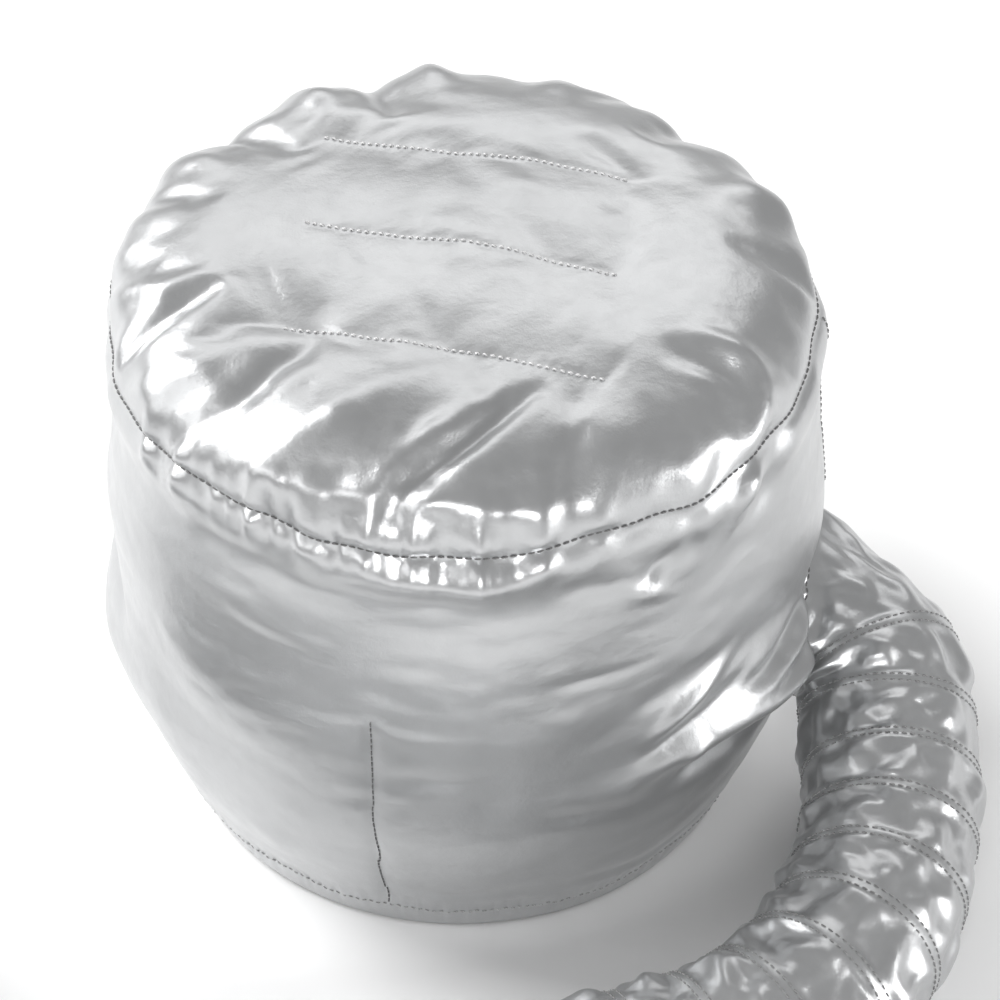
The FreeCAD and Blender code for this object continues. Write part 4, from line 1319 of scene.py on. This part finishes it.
def make_side_lining():
    """The lining hangs inside the side panel with its rows of air holes."""
    columns = 384
    flat_radius = 0.129
    heights = np.concatenate([np.linspace(HEM_HEIGHT, 0.060, 21)[:-1], np.linspace(0.060, 0.195, 61),
                              np.linspace(0.195, SEAM_HEIGHT, 17)[1:]])
    along, up = np.meshgrid(np.arange(columns) * (2 * math.pi * flat_radius / columns), heights)
    hole_columns = range(0, columns, columns // 16)
    along, up, gaps = pierced_grid(along, up, hole_columns, (20, 40, 60, 80), 2, AIR_HOLE)
    turn = along / flat_radius
    radius = np.interp(up, *LINING_PROFILE)
    slack = smooth(HEM_HEIGHT, 0.05, up) * (1 - smooth(0.20, SEAM_HEIGHT, up))
    around = polar(0.13, turn, up * 0.6).reshape(-1, 3)
    sway = fine_noise(around, 26.0, 21) * 0.005 + fine_noise(around, 80.0, 22) * 0.002
    sway = sway.reshape(up.shape)
    radius = radius - slack * (0.0012 + np.abs(sway)) + slack * 0.3 * sway
    item, uv = lining_mesh("side_lining_cloth", polar(radius, turn, up), gaps, np.stack([along, up], -1))
    return finish_lining(item, uv, 2 * math.pi * flat_radius, "side_lining")


def make_crown_lining():
    """The lining under the crown, with a ring of air holes."""
    columns = 240
    hole_ring = 0.062
    reach = np.concatenate([np.linspace(0.004, 0.0570, 24)[:-1], np.linspace(0.0570, 0.0670, 7),
                            np.linspace(0.0670, CROWN_LINING.length, 30)[1:]])
    along, up = np.meshgrid(np.arange(columns) * (2 * math.pi * hole_ring / columns), reach)
    along, up, gaps = pierced_grid(along, up, range(0, columns, columns // 10), (26,), 3, AIR_HOLE)
    turn = along / hole_ring
    radius, height = CROWN_LINING.at(up)
    flat = polar(radius, turn, 0.0)
    sag = smooth(0.0, 0.03, CROWN_LINING.length - up)
    folds = np.abs(fine_noise(flat.reshape(-1, 3), 24.0, 23).reshape(up.shape))
    points = polar(radius, turn, height - sag * (0.002 + 0.006 * folds))
    item, uv = lining_mesh("crown_lining_cloth", points, gaps, flat[..., :2])
    close_middle(item, columns)
    return finish_lining(item, np.vstack([uv, [[0.0, 0.0]]]), 0.0, "crown_lining")


def close_middle(item, columns):
    """Fills the ring of the first points with a fan of faces."""
    shape = bmesh.new()
    shape.from_mesh(item.data)
    shape.verts.ensure_lookup_table()
    ring = [shape.verts[i] for i in range(columns)]
    middle = shape.verts.new(sum((v.co for v in ring), Vector()) / columns)
    for a, b in zip(ring, ring[1:] + ring[:1]):
        shape.faces.new((a, middle, b))
    shape.to_mesh(item.data)
    shape.free()


LINING_PROFILE = (np.array([0.014, 0.030, 0.055, 0.084, 0.150, 0.230]),
                  np.array([0.1145, 0.1225, 0.1285, 0.1310, 0.1305, 0.1280]))
CROWN_LINING = Profile([(0.0, 0.258), (0.012, 0.258), (0.106, 0.251)]
                       + Surface.arc((0.106, 0.251), (0.128, 0.230), 0.023)[1:])
SIDE_LINING = make_side_lining()
CROWN_LINING_CLOTH = make_crown_lining()


def sew_lining():
    """The seam inside, between the two linings."""
    places, _ = Skin(SIDE_LINING).nearest(ring_points(0.1278, SEAM_HEIGHT - 0.002))
    inward = unit(places * (-1, -1, 0))
    sewn_piece("lining_stitches", [places], [inward], "lining_seam_thread", THREAD_GREY,
               0.0030, 0.66, 0.00032, closed=True)


sew_lining()

# ---- hem, inlet tape and cuff


def smooth_loop(corners, count):
    """Points spaced along a closed smooth section drawn by corners."""
    points = nurbs_points([(*corner, 0.0) for corner in corners], 16, cyclic=True)
    length = np.linalg.norm(np.diff(points, axis=0, append=points[:1]), axis=1).sum()
    return along_line(points, np.arange(count) / count * length, True)[:, :2]


def hem_wave(turn, part):
    """Gathers where the drawcord has drawn the hem in, smooth beside the eyelet."""
    around = np.degrees(turn)
    quiet = 1 - bump(degrees_from(around, EYELET_AZIMUTH), 0, 5)
    gather = np.sin(around * 1.9 + 1.3 * np.sin(around * 0.23)) * 0.6 + np.sin(around * 3.3 + 2 * part) * 0.4
    return (0.00045 * gather - 0.0002) * quiet


# The hem casing's section, as (radius, height).
HEM_SECTION = [(0.1121, 0.0138), (0.1121, 0.0075), (0.1124, 0.0010), (0.1142, -0.0002), (0.1160, 0.0005),
               (0.1178, 0.0045), (0.1183, 0.0095), (0.1184, 0.0142), (0.1165, 0.0146), (0.1140, 0.0144)]
HEM_FLAT_RADIUS = 0.118


def make_hem():
    """The casing folded round the drawcord. The cord's pull gathers it."""
    rings, count = 640, 28
    section = smooth_loop(HEM_SECTION, count)
    turn, part = np.meshgrid(full_turn(rings), np.arange(count) / count, indexing="ij")
    way = unit(section - section.mean(axis=0))
    push = hem_wave(turn, part)
    radius, height = (section[:, k] + way[:, k] * push for k in (0, 1))
    points = polar(radius, turn, np.maximum(height, 0.0002))
    item = mesh_object("hem_casing_cloth", points.reshape(-1, 3), loop_faces(rings, count))
    uv = np.stack([turn * HEM_FLAT_RADIUS, part * 0.04], -1).reshape(-1, 2)
    give_uv(item, uv, 2 * math.pi * HEM_FLAT_RADIUS)
    return adopt(item, SILVER, replaces=("hem_casing",))


# The inlet tape's section, as (distance out from the hose's radius, height off the side panel).
INLET_SECTION = [(-0.0004, -0.0012), (-0.0002, 0.0010), (0.0012, 0.0017), (0.0030, 0.0014), (0.0043, 0.0004),
                 (0.0046, -0.0012)]


def row_uv(turns, rows, pitch):
    """(u, v) for rows of cloth a pitch apart, each with the same turns."""
    return np.stack([np.tile(turns, rows), np.repeat(np.arange(rows) * pitch, len(turns))], 1)


def make_inlet_tape():
    """The folded edge of the side panel, turned out and sewn round the mouth of the hose."""
    count = 220
    turn = full_turn(count)
    pinch = 0.0005 * np.sin(turn * 23 + 1.5 * np.sin(turn * 5)) + 0.0003 * np.sin(turn * 41)
    rows = []
    for reach, lift in INLET_SECTION:
        radius = HOSE_RADIUS + reach + pinch * (reach > 0.002)
        raised = squeeze_top(np.sin(turn) * radius, 0.0)
        ring = HOSE_START + np.outer(np.cos(turn) * radius, HOSE.side[0]) + np.outer(raised, HOSE.up[0])
        places, ways = HOOD_SKIN.nearest(meet_hood(ring))
        rows.append(places + ways * (lift + pinch * (lift > 0.001))[:, None])
    faces = [tuple(reversed(f)) for f in grid_faces(len(rows), count)]
    item = mesh_object("inlet_binding", np.vstack(rows), faces)
    give_uv(item, row_uv(turn * HOSE_RADIUS, len(rows), 0.001), 2 * math.pi * HOSE_RADIUS)
    refine(item)
    adopt(item, SILVER, replaces=("inlet_tape",))
    places, ways = Skin(item).nearest(rows[3])
    ways *= np.sign(np.sum(ways * (places - [0, 0, 0.1]), 1))[:, None]
    sewn_piece("inlet_stitches", [places], [ways], "inlet_thread", THREAD_DARK,
               0.0032, 0.7, 0.00034, closed=True)


# The cuff's section, as (distance past the end of the sleeve, radius).
CUFF_OUTSIDE = [(-0.0020, 0.0364), (0.0005, 0.0371), (0.0050, 0.0357), (0.0110, 0.0325), (0.0180, 0.0292),
                (0.0250, 0.0275), (0.0300, 0.0271), (0.0400, 0.0271), (0.0500, 0.0273), (0.0555, 0.0276),
                (0.0572, 0.0292), (0.0590, 0.0314), (0.0620, 0.0324), (0.0655, 0.0324), (0.0685, 0.0313),
                (0.0699, 0.0294)]
CUFF_INSIDE = [(0.0700, 0.0272), (0.0685, 0.0263), (0.0640, 0.0261), (0.0560, 0.0262), (0.0450, 0.0261),
               (0.0300, 0.0261), (0.0220, 0.0268), (0.0120, 0.0305), (0.0040, 0.0349), (-0.0018, 0.0357)]

CUFF_FLAT_RADIUS = 0.03
CUFF_SEAM_PLACE = 0.0545


def make_cuff():
    """The tapered end of the sleeve, pleated down to the elastic in its casing."""
    count = 208
    turn = full_turn(count)
    rows = []
    outline = [(a, r, True) for a, r in CUFF_OUTSIDE] + [(a, r, False) for a, r in CUFF_INSIDE]
    for along, radius, outside in outline:
        pleat = 0.7 * np.sin(turn * 26 + 1.2 * np.sin(turn * 3)) + 0.3 * np.sin(turn * 43 + along * 60)
        depth = 0.0012 * float(smooth(0.001, 0.022, along)) * (1.0 if outside else 0.5)
        if along > 0.056:
            depth *= 0.75
        wide = radius + depth * (pleat - (0 if outside else 0.4))
        drift = turn + 0.02 * math.sin(along * 90)
        rows.append(HOSE.at(np.full(count, CUFF_START + along), wide * np.cos(drift), wide * np.sin(drift)))
    item = mesh_object("hose_cuff_cloth", np.vstack(rows), loop_faces(len(rows), count))
    give_uv(item, row_uv(turn * CUFF_FLAT_RADIUS, len(rows), 0.005), 2 * math.pi * CUFF_FLAT_RADIUS)
    refine(item)
    adopt(item, HOSE_SILVER, replaces=("hose_cuff",))

    seam = np.full(count, CUFF_START + CUFF_SEAM_PLACE)
    places, _ = Skin(item).nearest(HOSE.at(seam, 0.0285 * np.cos(turn), 0.0285 * np.sin(turn)))
    return item, sewn_piece("cuff_stitches", [places], [unit(places - HOSE.at(seam))], "cuff_seam_thread",
                            THREAD_GREY, 0.0030, 0.66, 0.00034, closed=True)


make_hem()
make_inlet_tape()
CUFF, CUFF_SEAM = make_cuff()

# ---- drawcord and CAD nodes that stay

STRAND_TWIST = 0.0046  # length of one full twist
STRAND_REACH = 0.00066
STRAND_RADIUS = 0.00058


def make_drawcord():
    """Four twisted strands: round the hem casing, out of the eyelet and through the lock."""
    ring, out, turn_radius, spacing = 0.115, 0.1758, 0.004, 0.0014
    centre_x = spacing + turn_radius
    centre_y = math.sqrt((ring + turn_radius) ** 2 - centre_x**2)
    joins = math.atan2(centre_y, centre_x)
    line = [(spacing, y) for y in np.linspace(out, centre_y, 60)]
    for angle in np.linspace(math.pi, math.pi + joins, 16):
        line.append((centre_x + turn_radius * math.cos(angle), centre_y + turn_radius * math.sin(angle)))
    sweep = np.linspace(joins, math.pi - joins - 2 * math.pi, 700)
    line += [(ring * math.cos(a), ring * math.sin(a)) for a in sweep]
    line += [(-x, y) for x, y in reversed(line[:76])]
    line = np.array([(x, y, HEM_HEIGHT / 2) for x, y in line])
    total = np.linalg.norm(np.diff(line, axis=0), axis=1).sum()
    distances = np.linspace(0, total, 2200)
    centre = along_line(line, distances, False)
    up = np.array([0, 0, 1.0])
    side = np.cross(unit(np.gradient(centre, axis=0)), up)
    strands = []
    for k in range(4):
        twist = (distances / STRAND_TWIST * 2 * math.pi + k * math.pi / 2)[:, None]
        strands.append(centre + STRAND_REACH * (np.cos(twist) * side + np.sin(twist) * up))
    item = mesh_object("hem_drawcord_rope", *tube_mesh(strands, STRAND_RADIUS))
    adopt(item, CORD, replaces=("hem_drawcord",))


make_drawcord()
for node, material in (("cuff_elastic", ELASTIC), ("cord_end", GREY_PLASTIC), ("lock_body", GREY_PLASTIC),
                       ("lock_plunger", DARK_PLASTIC), ("lock_spring", STEEL), ("hem_eyelet", EYELET)):
    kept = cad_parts[node].data.materials
    kept.clear()
    kept.append(material)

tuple(HOSE_ROUTE[0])
[tuple(p) for p in HOSE.points]

# ---- light and floor

LIT_PLACE = Vector((0.0, 0.0, 0.12))
FLOOR_HEIGHT = -0.0005
# The lamps, as (name, place, width and height, power).
LAMPS = [
    ("key", (-2.4, 1.1, 2.1), (1.8, 1.4), 115),
    ("fill", (-1.6, -0.9, 1.3), (1.4, 0.6), 7),
    ("sky", (0.2, 2.3, 2.0), (3.0, 1.4), 18),
    ("front", (-0.02, -1.8, 1.1), (0.6, 0.3), 16),
    ("right", (1.5, -0.5, 0.32), (0.3, 0.6), 9),
]


def make_floor():
    corners = [(x, y, FLOOR_HEIGHT) for x, y in ((-6, -6), (6, -6), (6, 6), (-6, 6))]
    floor = mesh_object("floor", corners, [(0, 1, 2, 3)])
    paint = Nodes("floor")
    paint.set(Base_Color=grey(0.9), Roughness=0.7)
    floor.data.materials.append(paint.material)
    floor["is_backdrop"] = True


def lamp(name, place, size, power):
    """A soft rectangular lamp that shines at the hood."""
    data = bpy.data.lights.new(name, "AREA")
    data.shape = "RECTANGLE"
    data.size, data.size_y = size
    data.energy = power
    add_looking(name, data, place, LIT_PLACE - Vector(place))


make_floor()
for row in LAMPS:
    lamp(*row)
bpy.context.scene.view_settings.view_transform = "Standard"
world = bpy.data.worlds.new("studio")
bpy.context.scene.world = world
world.use_nodes = True
backdrop = world.node_tree.nodes["Background"].inputs
backdrop["Color"].default_value = grey(0.8)
backdrop["Strength"].default_value = 0.5

[[list(map(float, corner)) for corner in box] for box in (CAD_BOX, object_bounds())]
